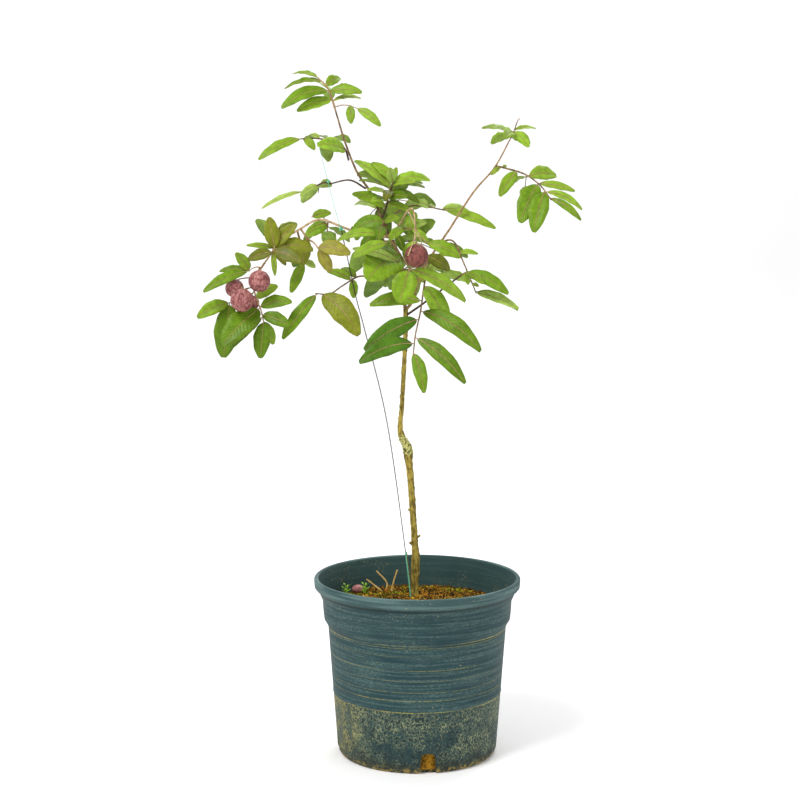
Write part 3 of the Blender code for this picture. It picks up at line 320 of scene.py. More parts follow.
# Stems, the ribs of the compound leaves and the fruits' stalks
STEM_RADIUS = 0.0016
RIB_RADIUS = 0.0012
RIB_TIP_RADIUS = 0.0008
STALK_ARCH = 0.002
# Room kept round a leaflet when it is tested, and how far it may be lifted or lowered, in degrees
MARGIN = 0.0012
LIFTS = (0, 7, -7, 14, -14, 22, -22, 32, -32, 44, -44)
ROLL = 22
PITCH = 9
OWN_ROLL = 7
# Leaflets stand in pairs that crowd towards the rib's tip, and the two of a pair are staggered
PAIR_CROWDING = 1.25
PAIR_STAGGER = 0.03

# %% Sprays of leaves and fruit
# A compound leaf. `at` is where on the stem its rib starts and `tip` is where the rib ends: with no
# tip the leaflets stand on the stem itself. `turns` holds one angle from the rib for each leaflet,
# in degrees, clockwise as seen from the side that the blades face. `size` is the length of the
# first and the last leaflet, `bare` the part of the rib without leaflets.
Frond = namedtuple("Frond", "at tip turns size width face bare arch",
                   defaults=((0, 0), 0, (0, -1, 0.3), 0.3, 0.004))
Fruit = namedtuple("Fruit", "at centre radius")
# A leaflet with a place of its own: the rib it stands on, 0 being the stem, where on that rib, its
# tip, its width and the way its blade faces
Leaf = namedtuple("Leaf", "rib at tip width face")
Mass = namedtuple("Mass", "stem room fronds fruits leaves", defaults=((), (), ()))

FRONT = (0, -1, 0.3)
SLOPED = (0, -1, 0.6)
UPWARD = (0, -0.7, 1)
BACK = (0, 1, 0.6)
BACK_UP = (0, 0.6, 1)

MASSES = {
    "crown_tip": Mass(
        ((-0.117, 0.004, 0.933), (-0.1215, 0.002, 0.9483), (-0.1256, 0.001, 0.9587),
         (-0.1318, 0, 0.967), (-0.1409, 0, 0.9753)), 0.13,
        (Frond(0.03, (-0.0845, -0.016, 0.9318), (), arch=0.004),
         Frond(0.4, (-0.128, 0.045, 0.956), (42, -42, 6), (0.045, 0.045), 0.020, BACK_UP)),
        (),
        (Leaf(0, 0.24, (-0.169, -0.014, 0.926), 0.018, SLOPED),
         Leaf(0, 0.5, (-0.191, -0.026, 0.932), 0.021, SLOPED),
         Leaf(0, 0.82, (-0.189, 0.01, 0.96), 0.015, UPWARD),
         Leaf(0, 0.98, (-0.178, 0.024, 0.982), 0.011, UPWARD),
         Leaf(0, 0.66, (-0.109, 0.024, 0.976), 0.015, FRONT),
         Leaf(0, 0.5, (-0.078, -0.01, 0.952), 0.016, SLOPED),
         Leaf(0, 0.2, (-0.079, 0.01, 0.946), 0.011, UPWARD),
         Leaf(1, 0.68, (-0.094, -0.018, 0.91), 0.013, FRONT),
         Leaf(1, 0.98, (-0.052, -0.028, 0.906), 0.014, FRONT))),
    "leader_side": Mass(
        ((-0.098, 0.014, 0.86), (-0.1022, 0.008, 0.8744), (-0.1126, 0.002, 0.8842),
         (-0.1307, -0.004, 0.889), (-0.1501, -0.01, 0.8907), (-0.1655, -0.012, 0.8896)), 0.14,
        (Frond(0.5, (-0.130, 0.045, 0.880), (42, -42, 6), (0.050, 0.050), 0.020, BACK_UP),),
        (),
        (Leaf(0, 0.98, (-0.223, -0.03, 0.86), 0.016, SLOPED),
         Leaf(0, 0.92, (-0.144, -0.026, 0.874), 0.012, FRONT),
         Leaf(0, 0.16, (-0.141, -0.034, 0.884), 0.022, FRONT),
         Leaf(0, 0.38, (-0.09, -0.012, 0.885), 0.013, FRONT),
         Leaf(0, 0.68, (-0.152, 0.008, 0.896), 0.007, FRONT))),
    "left_drooping": Mass(
        ((-0.124, -0.006, 0.827), (-0.1322, -0.01, 0.8289), (-0.1461, -0.014, 0.8226),
         (-0.1628, -0.018, 0.8157)), 0.14,
        (Frond(0.4, (-0.142, 0.040, 0.814), (30, -30), (0.036, 0.036), 0.016, BACK),),
        (),
        (Leaf(0, 0.96, (-0.219, -0.026, 0.791), 0.01, UPWARD),
         Leaf(0, 0.46, (-0.165, -0.03, 0.809), 0.008, FRONT),
         Leaf(0, 0.64, (-0.127, -0.028, 0.809), 0.01, FRONT))),
    "crown_top": Mass(
        ((-0.05, 0.028, 0.779), (-0.0443, 0.02, 0.7952), (-0.0421, 0.012, 0.8053),
         (-0.0385, 0.008, 0.8167), (-0.0349, 0.004, 0.8266), (-0.0342, 0.002, 0.8337)), 0.16,
        (Frond(0.7, (-0.042, 0.055, 0.834), (50, -50, 8), (0.055, 0.055), 0.022, BACK_UP),),
        (),
        (Leaf(0, 0.96, (-0.066, 0.026, 0.857), 0.015, SLOPED),
         Leaf(0, 0.78, (-0.094, 0.04, 0.845), 0.019, UPWARD),
         Leaf(0, 0.74, (-0.08, 0, 0.841), 0.011, UPWARD),
         Leaf(0, 0.62, (-0.072, -0.012, 0.819), 0.013, UPWARD),
         Leaf(0, 0.24, (-0.093, 0.038, 0.808), 0.016, FRONT),
         Leaf(0, 0.16, (-0.123, 0.078, 0.826), 0.014, FRONT),
         Leaf(0, 0.44, (-0.068, -0.016, 0.804), 0.011, SLOPED),
         Leaf(0, 0.88, (-0.04, -0.014, 0.85), 0.014, FRONT),
         Leaf(0, 0.96, (-0.03, 0.004, 0.851), 0.009, FRONT),
         Leaf(0, 0.96, (0.019, 0.018, 0.83), 0.016, SLOPED),
         Leaf(0, 0.88, (0.012, 0.04, 0.82), 0.009, SLOPED),
         Leaf(0, 0.84, (0.005, -0.02, 0.818), 0.014, SLOPED),
         Leaf(0, 0.98, (-0.015, -0.022, 0.826), 0.015, FRONT),
         Leaf(0, 0.7, (-0.046, -0.018, 0.803), 0.014, FRONT),
         Leaf(0, 0.68, (0.004, 0.014, 0.801), 0.013, SLOPED),
         Leaf(0, 0.56, (-0.008, -0.018, 0.802), 0.014, FRONT),
         Leaf(0, 0.8, (0.015, 0.046, 0.797), 0.017, SLOPED),
         Leaf(0, 0.36, (-0.005, 0.002, 0.784), 0.01, SLOPED))),
    "right_crossing": Mass(
        ((-0.047, 0.031, 0.765), (-0.036, 0.045, 0.781), (-0.01, 0.058, 0.794), (0.015, 0.064, 0.793),
         (0.04, 0.066, 0.788)), 0.14,
        (Frond(0.4, (-0.020, 0.095, 0.782), (40, -40, 6), (0.046, 0.046), 0.022, BACK),),
        (),
        (Leaf(0, 0.78, (-0.001, 0.04, 0.8), 0.014, FRONT),
         Leaf(0, 0.8, (0.025, 0.08, 0.795), 0.008, FRONT),
         Leaf(0, 1, (0.113, 0.05, 0.76), 0.017, SLOPED),
         Leaf(0, 0.96, (0.078, 0.092, 0.785), 0.017, SLOPED))),
    "centre_left": Mass(
        ((-0.046, 0.029, 0.772), (-0.0478, 0.014, 0.7727), (-0.0519, -0.004, 0.7633),
         (-0.0532, -0.018, 0.754), (-0.0433, -0.03, 0.7447)), 0.12,
        (),
        (),
        (Leaf(0, 0.1, (-0.096, 0.034, 0.761), 0.022, FRONT),
         Leaf(0, 0.22, (-0.021, 0.006, 0.772), 0.013, SLOPED),
         Leaf(0, 0.4, (-0.057, -0.03, 0.749), 0.017, FRONT),
         Leaf(0, 0.72, (-0.112, -0.034, 0.758), 0.014, SLOPED),
         Leaf(0, 1, (-0.091, -0.05, 0.726), 0.016, FRONT),
         Leaf(0, 0.54, (-0.074, 0.02, 0.738), 0.016, FRONT))),
    "centre_right": Mass(
        ((-0.039, 0.03, 0.744), (-0.0307, 0.018, 0.7561), (-0.0207, 0.006, 0.763),
         (-0.008, -0.006, 0.7634)), 0.12,
        (),
        (),
        (Leaf(0, 0.62, (0.014, 0.016, 0.773), 0.015, FRONT),
         Leaf(0, 0.7, (-0.041, -0.018, 0.748), 0.014, FRONT),
         Leaf(0, 1, (0.015, -0.012, 0.745), 0.01, FRONT),
         Leaf(0, 0.36, (-0.021, 0.022, 0.73), 0.013, FRONT),
         Leaf(0, 0.54, (-0.034, 0.026, 0.772), 0.01, FRONT),
         Leaf(0, 0.92, (-0.006, 0.026, 0.781), 0.016, FRONT))),
    "fruit_spray": Mass(
        ((-0.042, 0.03, 0.753), (-0.031, 0.012, 0.763), (-0.022, -0.005, 0.775),
         (-0.017, -0.018, 0.786), (-0.009, -0.03, 0.793), (-0.005, -0.038, 0.785),
         (-0.004, -0.044, 0.766), (-0.005, -0.052, 0.752), (-0.014, -0.072, 0.729)), 0.12,
        (Frond(0.78, (0.0126, -0.05, 0.7455), (), arch=0.004),
         Frond(0.45, (0.0118, -0.014, 0.7256), (), arch=0.003)),
        (Fruit(0.78, (-0.002, -0.05, 0.7279), 0.0168),),
        (Leaf(1, 1, (0.058, -0.058, 0.724), 0.019, FRONT),
         Leaf(2, 1, (0.045, -0.006, 0.703), 0.019, FRONT),
         Leaf(2, 0.84, (-0.022, 0.006, 0.73), 0.017, FRONT))),
    "front_left": Mass(
        ((-0.029, 0.029, 0.733), (-0.019, -0.005, 0.7185), (-0.009, -0.035, 0.706)), 0.13,
        (Frond(0.9, (-0.0124, -0.052, 0.708), (), arch=0.003),
         Frond(0.4, (-0.0278, -0.014, 0.7172), (), arch=0.003)),
        (),
        (Leaf(0, 0.2, (-0.062, -0.064, 0.710), 0.056, FRONT),
         Leaf(1, 1, (-0.024, -0.066, 0.662), 0.035, FRONT),
         Leaf(1, 0.88, (0.077, -0.06, 0.676), 0.021, SLOPED),
         Leaf(2, 1, (-0.093, 0.014, 0.722), 0.013, FRONT),
         Leaf(2, 1, (-0.045, -0.03, 0.683), 0.017, FRONT))),
    "front_hanging": Mass(
        ((0.018, 0.036, 0.718), (0.01, 0, 0.686), (0.004, -0.025, 0.648), (-0.003, -0.045, 0.618),
         (-0.0065, -0.06, 0.59)), 0.17,
        (),
        (),
        (Leaf(0, 0.66, (-0.077, -0.07, 0.6), 0.027, FRONT),
         Leaf(0, 0.9, (-0.085, -0.074, 0.579), 0.025, FRONT),
         Leaf(0, 0.58, (0.091, -0.06, 0.598), 0.026, FRONT),
         Leaf(0, 0.84, (0.069, -0.078, 0.554), 0.022, FRONT),
         Leaf(0, 0.98, (0.012, -0.082, 0.539), 0.019, FRONT),
         Leaf(0, 0.32, (0.043, -0.026, 0.627), 0.027, FRONT),
         Leaf(0, 0.48, (-0.069, -0.01, 0.657), 0.021, FRONT))),
    "right_inner": Mass(
        ((0.022, 0.037, 0.726), (0.0151, 0.016, 0.7041), (0.0135, 0.004, 0.6948),
         (0.0191, -0.006, 0.6912)), 0.1,
        (),
        (),
        (Leaf(0, 1, (0.092, -0.024, 0.654), 0.016, FRONT),
         Leaf(0, 0.6, (-0.001, 0.002, 0.684), 0.012, FRONT),
         Leaf(0, 0.54, (0.032, 0.02, 0.715), 0.01, FRONT))),
    "lower_right": Mass(
        ((0.06, 0, 0.696), (0.0641, -0.001, 0.6991), (0.0702, -0.006, 0.7032)), 0.1,
        (),
        (),
        (Leaf(0, 1, (0.128, -0.024, 0.671), 0.02, SLOPED),
         Leaf(0, 0.8, (0.096, -0.036, 0.68), 0.012, FRONT),
         Leaf(0, 0.64, (0.072, -0.01, 0.684), 0.008, FRONT))),
    "right_rachis": Mass(
        ((0.036, 0.04, 0.742), (0.0413, 0.038, 0.7453), (0.0499, 0.034, 0.7455), (0.057, 0.03, 0.7378),
         (0.0612, 0.026, 0.7265), (0.0683, 0.02, 0.7096), (0.0753, 0.014, 0.6928),
         (0.0837, 0.006, 0.6718)), 0.14,
        (),
        (),
        (Leaf(0, 0.36, (0.088, 0.02, 0.728), 0.008, FRONT),
         Leaf(0, 0.98, (0.146, 0.016, 0.648), 0.013, SLOPED),
         Leaf(0, 1, (0.143, -0.012, 0.644), 0.014, SLOPED),
         Leaf(0, 0.46, (0.027, 0.03, 0.725), 0.008, SLOPED),
         Leaf(0, 0.86, (0.088, 0.004, 0.681), 0.006, FRONT))),
    "right_tip": Mass(
        ((0.135, 0.06, 0.892), (0.137, 0.059, 0.898), (0.14, 0.058, 0.903)), 0.09,
        (Frond(1, (0.148, 0.057, 0.920), ()),
         Frond(0.3, (0.137, 0.085, 0.896), (50, -50), (0.036, 0.036), 0.020, BACK_UP, 1)),
        (),
        (Leaf(0, 0.62, (0.092, 0.04, 0.905), 0.015, UPWARD),
         Leaf(0, 0.72, (0.113, 0.044, 0.875), 0.018, FRONT),
         Leaf(0, 0.78, (0.161, 0.046, 0.88), 0.015, FRONT),
         Leaf(0, 1, (0.172, 0.074, 0.902), 0.009, UPWARD))),
    "right_arm": Mass(
        ((0.114, 0.06, 0.852), (0.13, 0.055, 0.848), (0.155, 0.045, 0.84), (0.176, 0.028, 0.824),
         (0.19, 0.008, 0.804)), 0.14,
        (Frond(0.45, (0.158, 0.085, 0.822), (50, -50, 8), (0.046, 0.046), 0.020, BACK_UP),),
        (),
        (Leaf(0, 0.06, (0.106, 0.05, 0.838), 0.007, FRONT),
         Leaf(0, 0.1, (0.13, 0.066, 0.853), 0.005, FRONT),
         Leaf(0, 0.3, (0.118, 0.036, 0.808), 0.018, FRONT),
         Leaf(0, 0.48, (0.203, 0.066, 0.837), 0.023, SLOPED),
         Leaf(0, 0.66, (0.226, 0.03, 0.814), 0.012, SLOPED),
         Leaf(0, 0.66, (0.144, 0.004, 0.772), 0.03, FRONT),
         Leaf(0, 0.82, (0.161, -0.008, 0.759), 0.028, FRONT),
         Leaf(0, 0.84, (0.237, 0.026, 0.791), 0.012, SLOPED),
         Leaf(0, 0.96, (0.232, -0.004, 0.775), 0.011, FRONT))),
    "left_inner": Mass(
        ((-0.164, -0.032, 0.764), (-0.154, -0.036, 0.751), (-0.145, -0.04, 0.745),
         (-0.1385, -0.045, 0.736)), 0.11,
        (),
        (),
        (Leaf(0, 0.9, (-0.093, -0.05, 0.732), 0.022, FRONT),
         Leaf(0, 0.98, (-0.121, -0.06, 0.707), 0.017, FRONT),
         Leaf(0, 0.36, (-0.162, -0.026, 0.712), 0.019, FRONT))),
    "left_back": Mass(
        ((-0.131, -0.018, 0.776), (-0.128, 0.01, 0.774), (-0.13, 0.04, 0.758)), 0.12,
        (Frond(0.5, (-0.1502, 0.006, 0.78), (), arch=0.006),
         Frond(1, None, (50, -50, 8), (0.045, 0.045), 0.021, BACK_UP, 0.8)),
        (),
        (Leaf(1, 1, (-0.123, 0.016, 0.787), 0.013, FRONT),
         Leaf(0, 0.74, (-0.162, 0.01, 0.753), 0.018, FRONT),
         Leaf(0, 0.62, (-0.154, -0.004, 0.763), 0.012, FRONT))),
    "left_under": Mass(
        ((-0.169, -0.034, 0.762), (-0.1644, -0.024, 0.743), (-0.1623, -0.014, 0.7285),
         (-0.1612, -0.008, 0.7154)), 0.1,
        (),
        (),
        (Leaf(0, 0.96, (-0.178, -0.01, 0.672), 0.016, FRONT),
         Leaf(0, 0.76, (-0.183, 0.004, 0.706), 0.015, FRONT),
         Leaf(0, 0.96, (-0.145, 0.002, 0.708), 0.01, FRONT))),
    "left_outer": Mass(
        ((-0.202, -0.047, 0.737), (-0.1989, -0.056, 0.7389), (-0.2026, -0.064, 0.7337)), 0.1,
        (Frond(0.6, (-0.198, -0.024, 0.742), (40, -40), (0.040, 0.040), 0.020, BACK, arch=0.018),),
        (),
        (Leaf(0, 0.58, (-0.209, -0.06, 0.782), 0.021, FRONT),
         Leaf(0, 0.48, (-0.171, -0.062, 0.774), 0.019, FRONT),
         Leaf(0, 0.48, (-0.146, -0.066, 0.739), 0.022, FRONT),
         Leaf(0, 0.88, (-0.16, -0.08, 0.719), 0.022, FRONT),
         Leaf(0, 1, (-0.236, -0.07, 0.722), 0.016, FRONT),
         Leaf(0, 0.26, (-0.239, -0.062, 0.741), 0.008, FRONT),
         Leaf(0, 0.88, (-0.198, -0.062, 0.7), 0.008, FRONT),
         Leaf(0, 0.88, (-0.182, -0.04, 0.712), 0.011, FRONT))),
    "left_fruit": Mass(
        ((-0.2136, -0.0523, 0.7182), (-0.225, -0.043, 0.702), (-0.231, -0.041, 0.688),
         (-0.226, -0.05, 0.668), (-0.219, -0.058, 0.652), (-0.215, -0.062, 0.635)), 0.15,
        (Frond(0.1, (-0.2356, -0.054, 0.7068), (), arch=0.003),
         Frond(0.42, (-0.2635, -0.052, 0.6619), (), arch=0.003)),
        (Fruit(0.15, (-0.2201, -0.07, 0.6938), 0.0154), Fruit(0.45, (-0.2436, -0.08, 0.6678), 0.0163),
         Fruit(0.3, (-0.2559, -0.056, 0.6828), 0.0132), Fruit(0.5, (-0.2334, -0.044, 0.6613), 0.0112)),
        (Leaf(1, 1, (-0.252, -0.066, 0.734), 0.016, FRONT),
         Leaf(1, 1, (-0.247, -0.084, 0.684), 0.018, FRONT),
         Leaf(1, 1, (-0.278, -0.05, 0.704), 0.01, FRONT),
         Leaf(1, 1, (-0.295, -0.04, 0.668), 0.016, FRONT),
         Leaf(2, 1, (-0.308, -0.06, 0.64), 0.02, FRONT),
         Leaf(2, 1, (-0.271, -0.064, 0.584), 0.035, FRONT),
         Leaf(0, 0.78, (-0.27, -0.09, 0.604), 0.036, FRONT),
         Leaf(0, 0.92, (-0.259, -0.074, 0.604), 0.017, FRONT),
         Leaf(0, 0.98, (-0.219, -0.068, 0.585), 0.024, FRONT),
         Leaf(0, 0.76, (-0.175, -0.06, 0.665), 0.019, FRONT),
         Leaf(0, 0.88, (-0.178, -0.07, 0.628), 0.019, FRONT),
         Leaf(0, 0.98, (-0.203, -0.04, 0.602), 0.015, FRONT),
         Leaf(0, 0.62, (-0.197, -0.034, 0.686), 0.017, FRONT))),
    "left_low": Mass(
        ((-0.0255, 0.028, 0.716), (-0.045, 0.015, 0.704), (-0.066, 0.003, 0.696),
         (-0.0845, -0.006, 0.696), (-0.106, -0.016, 0.684), (-0.124, -0.026, 0.673),
         (-0.144, -0.036, 0.674)), 0.18,
        (),
        (),
        (Leaf(0, 0.98, (-0.189, -0.046, 0.609), 0.019, FRONT),
         Leaf(0, 0.94, (-0.08, -0.06, 0.618), 0.035, FRONT),
         Leaf(0, 0.56, (-0.09, -0.02, 0.667), 0.013, FRONT),
         Leaf(0, 0.58, (-0.129, -0.004, 0.705), 0.012, FRONT),
         Leaf(0, 0.52, (-0.109, 0.006, 0.708), 0.011, FRONT))),
    "back_high": Mass(
        ((-0.058, 0.026, 0.795), (-0.052, 0.055, 0.799), (-0.044, 0.095, 0.789)), 0.15,
        (Frond(0, None, (50, -60, 20), (0.058, 0.058), 0.023, BACK_UP, 0.6),
         Frond(0.6, (-0.074, 0.105, 0.774), (50, -50, 8), (0.052, 0.052), 0.022, BACK),
         Frond(0.6, (-0.014, 0.112, 0.800), (50, -50, 8), (0.052, 0.052), 0.022, BACK))),
    "back_middle": Mass(
        ((-0.037, 0.029, 0.739), (-0.032, 0.065, 0.745), (-0.022, 0.115, 0.735)), 0.16,
        (Frond(0, None, (70, -66, 50, -46, 12), (0.062, 0.062), 0.024, BACK_UP, 0.45),
         Frond(0.45, (-0.076, 0.105, 0.728), (60, -60, 20), (0.056, 0.056), 0.023, BACK),
         Frond(0.6, (0.028, 0.118, 0.728), (60, -60, 20), (0.056, 0.056), 0.023, BACK))),
    "back_low": Mass(
        ((-0.022, 0.024, 0.689), (-0.02, 0.06, 0.703), (-0.012, 0.1, 0.696)), 0.16,
        (Frond(0, None, (70, -66, 50, -46, 12), (0.060, 0.060), 0.024, BACK_UP, 0.5),
         Frond(0.6, (-0.050, 0.100, 0.690), (44, -50, 8), (0.052, 0.052), 0.022, BACK),
         Frond(0.6, (0.030, 0.104, 0.690), (60, -60, 20), (0.056, 0.056), 0.022, BACK))),
}
own = sum(len(mass.leaves) for mass in MASSES.values())
paired = sum(len(frond.turns) for mass in MASSES.values() for frond in mass.fronds)
print(len(MASSES), "sprays with", own, "leaflets in places of their own and", paired, "in pairs")

# %% Curves and tubes
def smooth(route, per_leg=2):
    """Points of one smooth curve through a route's own points."""
    own = [Vector(point) for point in route]
    own = [2 * own[0] - own[1]] + own + [2 * own[-1] - own[-2]]
    points = []
    for a, b, c, d in zip(own, own[1:], own[2:], own[3:]):
        for step in range(per_leg):
            t = step / per_leg
            points.append(0.5 * (2 * b + (c - a) * t + (2 * a - 5 * b + 4 * c - d) * t ** 2
                                 + (3 * b - a - 3 * c + d) * t ** 3))
    points.append(own[-2])
    return points


def along(points, part):
    """The place and the direction at a part of a curve's length."""
    legs = [(b - a).length for a, b in zip(points, points[1:])]
    left = part * sum(legs)
    for a, b, leg in zip(points, points[1:], legs):
        if left <= leg or b is points[-1]:
            return a.lerp(b, left / leg), (b - a).normalized()
        left -= leg
    return points[-1], (points[-1] - points[-2]).normalized()


def arc(start, tip, arch):
    """Four points of an arched rib between two places."""
    crest = (start + tip) / 2 + Vector((0, 0, 2 * arch))
    return [start.lerp(crest, t).lerp(crest.lerp(tip, t), t) for t in (0, 0.33, 0.67, 1)]


def taper(count, thick, thin):
    """Radii that shrink evenly from thick to thin."""
    return [thick + (thin - thick) * k / (count - 1) for k in range(count)]


def ring_slab(points, radii, extra):
    """Corners and faces of a four-sided tube, as a stand-in for tests."""
    corners = []
    for k, (point, radius) in enumerate(zip(points, radii)):
        run = (points[min(k + 1, len(points) - 1)] - points[max(k - 1, 0)]).normalized()
        across = run.orthogonal().normalized()
        for turn in range(4):
            corners.append(point + Quaternion(run, turn * math.pi / 2) @ across * (radius + extra))
    faces = []
    for k in range(len(points) - 1):
        for turn in range(4):
            a = 4 * k + turn
            b = 4 * k + (turn + 1) % 4
            faces.append((a, b, b + 4, a + 4))
    return corners, faces


# %% Blades, and the room that each one needs
def leaf_outline(u):
    """Half the blade's width at a part of its length, as a share of its greatest half width."""
    blade = max(u - LEAF_STALK, 0) / (1 - 0.6 * LEAF_STALK)
    return math.sin(math.pi * blade ** 0.85) ** 0.68


def leaf_shape(u, w, rise, length, width):
    """A point of the blade: u from root to tip, w from edge to edge and rise off its face."""
    half = max(0.5 * width * leaf_outline(u), ROOT_HALF * (1 - u))
    bend = LEAF_BEND * length * u * u
    return Vector((ROOT_SINK + u * length, w * half, LEAF_FOLD * abs(w) * half - bend + rise))


def leaf_slab(frame, length, width, extra):
    """Corners and faces of a blade's stand-in for tests, from an eighth of its length on."""
    rows = (0.12, 0.28, 0.54, 0.84, 1.0)
    rise = LEAF_THICK / 2 + extra
    corners = []
    for u in rows:
        for w, up in ((-1, 0), (0, rise), (1, 0), (0, -rise)):
            spot = leaf_shape(u, w, up, length, width) + Vector((0, w * 2 * extra, 0))
            corners.append(frame @ spot)
    faces = []
    for row in range(len(rows) - 1):
        for k in range(4):
            a = 4 * row + k
            b = 4 * row + (k + 1) % 4
            faces.append((a, b, b + 4, a + 4))
    last = 4 * (len(rows) - 1)
    return corners, faces + [(0, 1, 2, 3), (last, last + 1, last + 2, last + 3)]


def ball_slab(centre, radius):
    """Corners and faces of a coarse ball, as a stand-in for tests."""
    bm = bmesh.new()
    bmesh.ops.create_icosphere(bm, subdivisions=2, radius=radius + MARGIN)
    corners = [centre + vert.co for vert in bm.verts]
    faces = [tuple(vert.index for vert in face.verts) for face in bm.faces]
    bm.free()
    return corners, faces


def free_of(slab, taken, own):
    """Whether a stand-in touches none of the ones that are already placed, its own rib apart."""
    tree = BVHTree.FromPolygons(*slab)
    return not any(other is not own and tree.overlap(other) for other in taken)


def leaf_frame(base, axis, face, roll):
    """The matrix that puts a blade's root at base, its length on axis and its face to face."""
    up = (face - axis * face.dot(axis)).normalized()
    up = Quaternion(axis, roll) @ up
    return Matrix.Translation(base) @ Matrix((axis, up.cross(axis), up)).transposed().to_4x4()


def find_room(base, flat, face, length, width, turns, taken, own):
    """The matrix of a leaflet that is lifted or lowered until it touches nothing, or None."""
    normal = (face - flat * face.dot(flat)).normalized()
    roll, pitch = turns
    for lift in LIFTS:
        rise = math.radians(pitch + lift)
        axis = flat * math.cos(rise) + normal * math.sin(rise)
        frame = leaf_frame(base, axis, face, math.radians(roll))
        if free_of(leaf_slab(frame, length, width, MARGIN), taken, own):
            taken.append(BVHTree.FromPolygons(*leaf_slab(frame, length, width, 0)))
            return frame
    return None


# %% The growth itself
def grow_frond(rib, frond, rng, taken, own):
    """Frames and sizes of the leaflets that find room on a rib."""
    grown = []
    face = Vector(frond.face).normalized()
    pairs = (len(frond.turns) + 1) // 2
    for k, turn in enumerate(frond.turns):
        share = k // 2 / (pairs - 1) if pairs > 1 else 0
        part = frond.bare + (1 - frond.bare) * (1 - (1 - share) ** PAIR_CROWDING)
        stagger = PAIR_STAGGER * (1 if k % 2 else -1)
        base, run = along(rib, min(max(part + stagger, 0.02), 1))
        side = run.cross(face).normalized()
        flat = run * math.cos(math.radians(turn)) + side * math.sin(math.radians(turn))
        length = (frond.size[0] + (frond.size[1] - frond.size[0]) * share) * rng.uniform(0.95, 1.05)
        width = frond.width * rng.uniform(0.9, 1.1)
        turns = (rng.uniform(-ROLL, ROLL), rng.uniform(-PITCH, PITCH))
        frame = find_room(base, flat, face, length, width, turns, taken, own)
        if frame:
            grown.append((frame, length, width))
    return grown


def grow_leaf(rib, leaf, rng, taken, own):
    """Frame and size of a leaflet that has a place of its own, if it finds room."""
    base, _ = along(rib, leaf.at)
    reach = Vector(leaf.tip) - base
    bend = math.atan(LEAF_BEND)
    length = reach.length * math.cos(bend)
    turns = (rng.uniform(-OWN_ROLL, OWN_ROLL), math.degrees(bend))
    face = Vector(leaf.face).normalized()
    frame = find_room(base, reach.normalized(), face, length, leaf.width, turns, taken, own)
    return [(frame, length, leaf.width)] if frame else []


def tubes_of(mass):
    """The stem, the ribs and the fruit stalks of a mass, each as points and radii."""
    stem = smooth(mass.stem)
    tubes = [(stem, taper(len(stem), STEM_RADIUS, RIB_RADIUS))]
    for frond in mass.fronds:
        if frond.tip:
            start, _ = along(stem, frond.at)
            rib = arc(start, Vector(frond.tip), frond.arch)
            tubes.append((rib, taper(len(rib), RIB_RADIUS, RIB_TIP_RADIUS)))
    for fruit in mass.fruits:
        start, _ = along(stem, fruit.at)
        top = Vector(fruit.centre) + Vector((0, 0, 0.8 * fruit.radius))
        stalk = arc(start, top, STALK_ARCH)
        tubes.append((stalk, taper(len(stalk), RIB_RADIUS, RIB_RADIUS)))
    return tubes


def grow_leaves(name, mass, tubes, trees, taken):
    """Every leaflet of one mass: those that find room and stay in its space."""
    rng = random.Random(name)
    ribs = [(points, tree) for (points, _), tree in zip(tubes, trees)]
    middle, _ = along(ribs[0][0], 0.5)
    grown = []
    for leaf in mass.leaves:
        rib, own = ribs[leaf.rib]
        grown += grow_leaf(rib, leaf, rng, taken, own)
    tips = iter(ribs[1:])
    for frond in mass.fronds:
        rib, own = next(tips) if frond.tip else ribs[0]
        grown += grow_frond(rib, frond, rng, taken, own)
    return [leaf for leaf in grown
            if (leaf[0] @ leaf_shape(1, 0, 0, leaf[1], leaf[2]) - middle).length < mass.room]


# %% Grow
trunk = nodes["trunk"].data
taken = [BVHTree.FromPolygons([vert.co for vert in trunk.vertices],
                              [tuple(face.vertices) for face in trunk.polygons])]
for limb in LIMBS.values():
    points = smooth(limb.route, 3)
    taken.append(BVHTree.FromPolygons(*ring_slab(points, taper(len(points), limb.thick, limb.thin), 0)))
strand = smooth(TWINE)
radii = [TWINE_PAIR_RADIUS if spot.z < TWINE_PAIR_TOP else TWINE_RADIUS for spot in strand]
taken.append(BVHTree.FromPolygons(*ring_slab(strand, radii, GAP)))
tubes = {name: tubes_of(mass) for name, mass in MASSES.items()}
trees = {}
for name, mass in MASSES.items():
    trees[name] = [BVHTree.FromPolygons(*ring_slab(points, radii, 0)) for points, radii in tubes[name]]
    taken += trees[name]
    taken += [BVHTree.FromPolygons(*ball_slab(Vector(fruit.centre), fruit.radius)) for fruit in mass.fruits]
leaves = {name: grow_leaves(name, MASSES[name], tubes[name], trees[name], taken) for name in MASSES}
print(sum(len(found) for found in leaves.values()), "leaflets have grown")

# %% [markdown]
# ## Gathering many small shapes
#
# A tree is hundreds of tubes and blades. Making each by hand would take minutes and leave hundreds of
# objects, so a heap collects corners and faces and becomes one mesh. A tube carries its ring of corners
# along a curve without twisting, and a skin can push every corner outwards to give bark its relief.

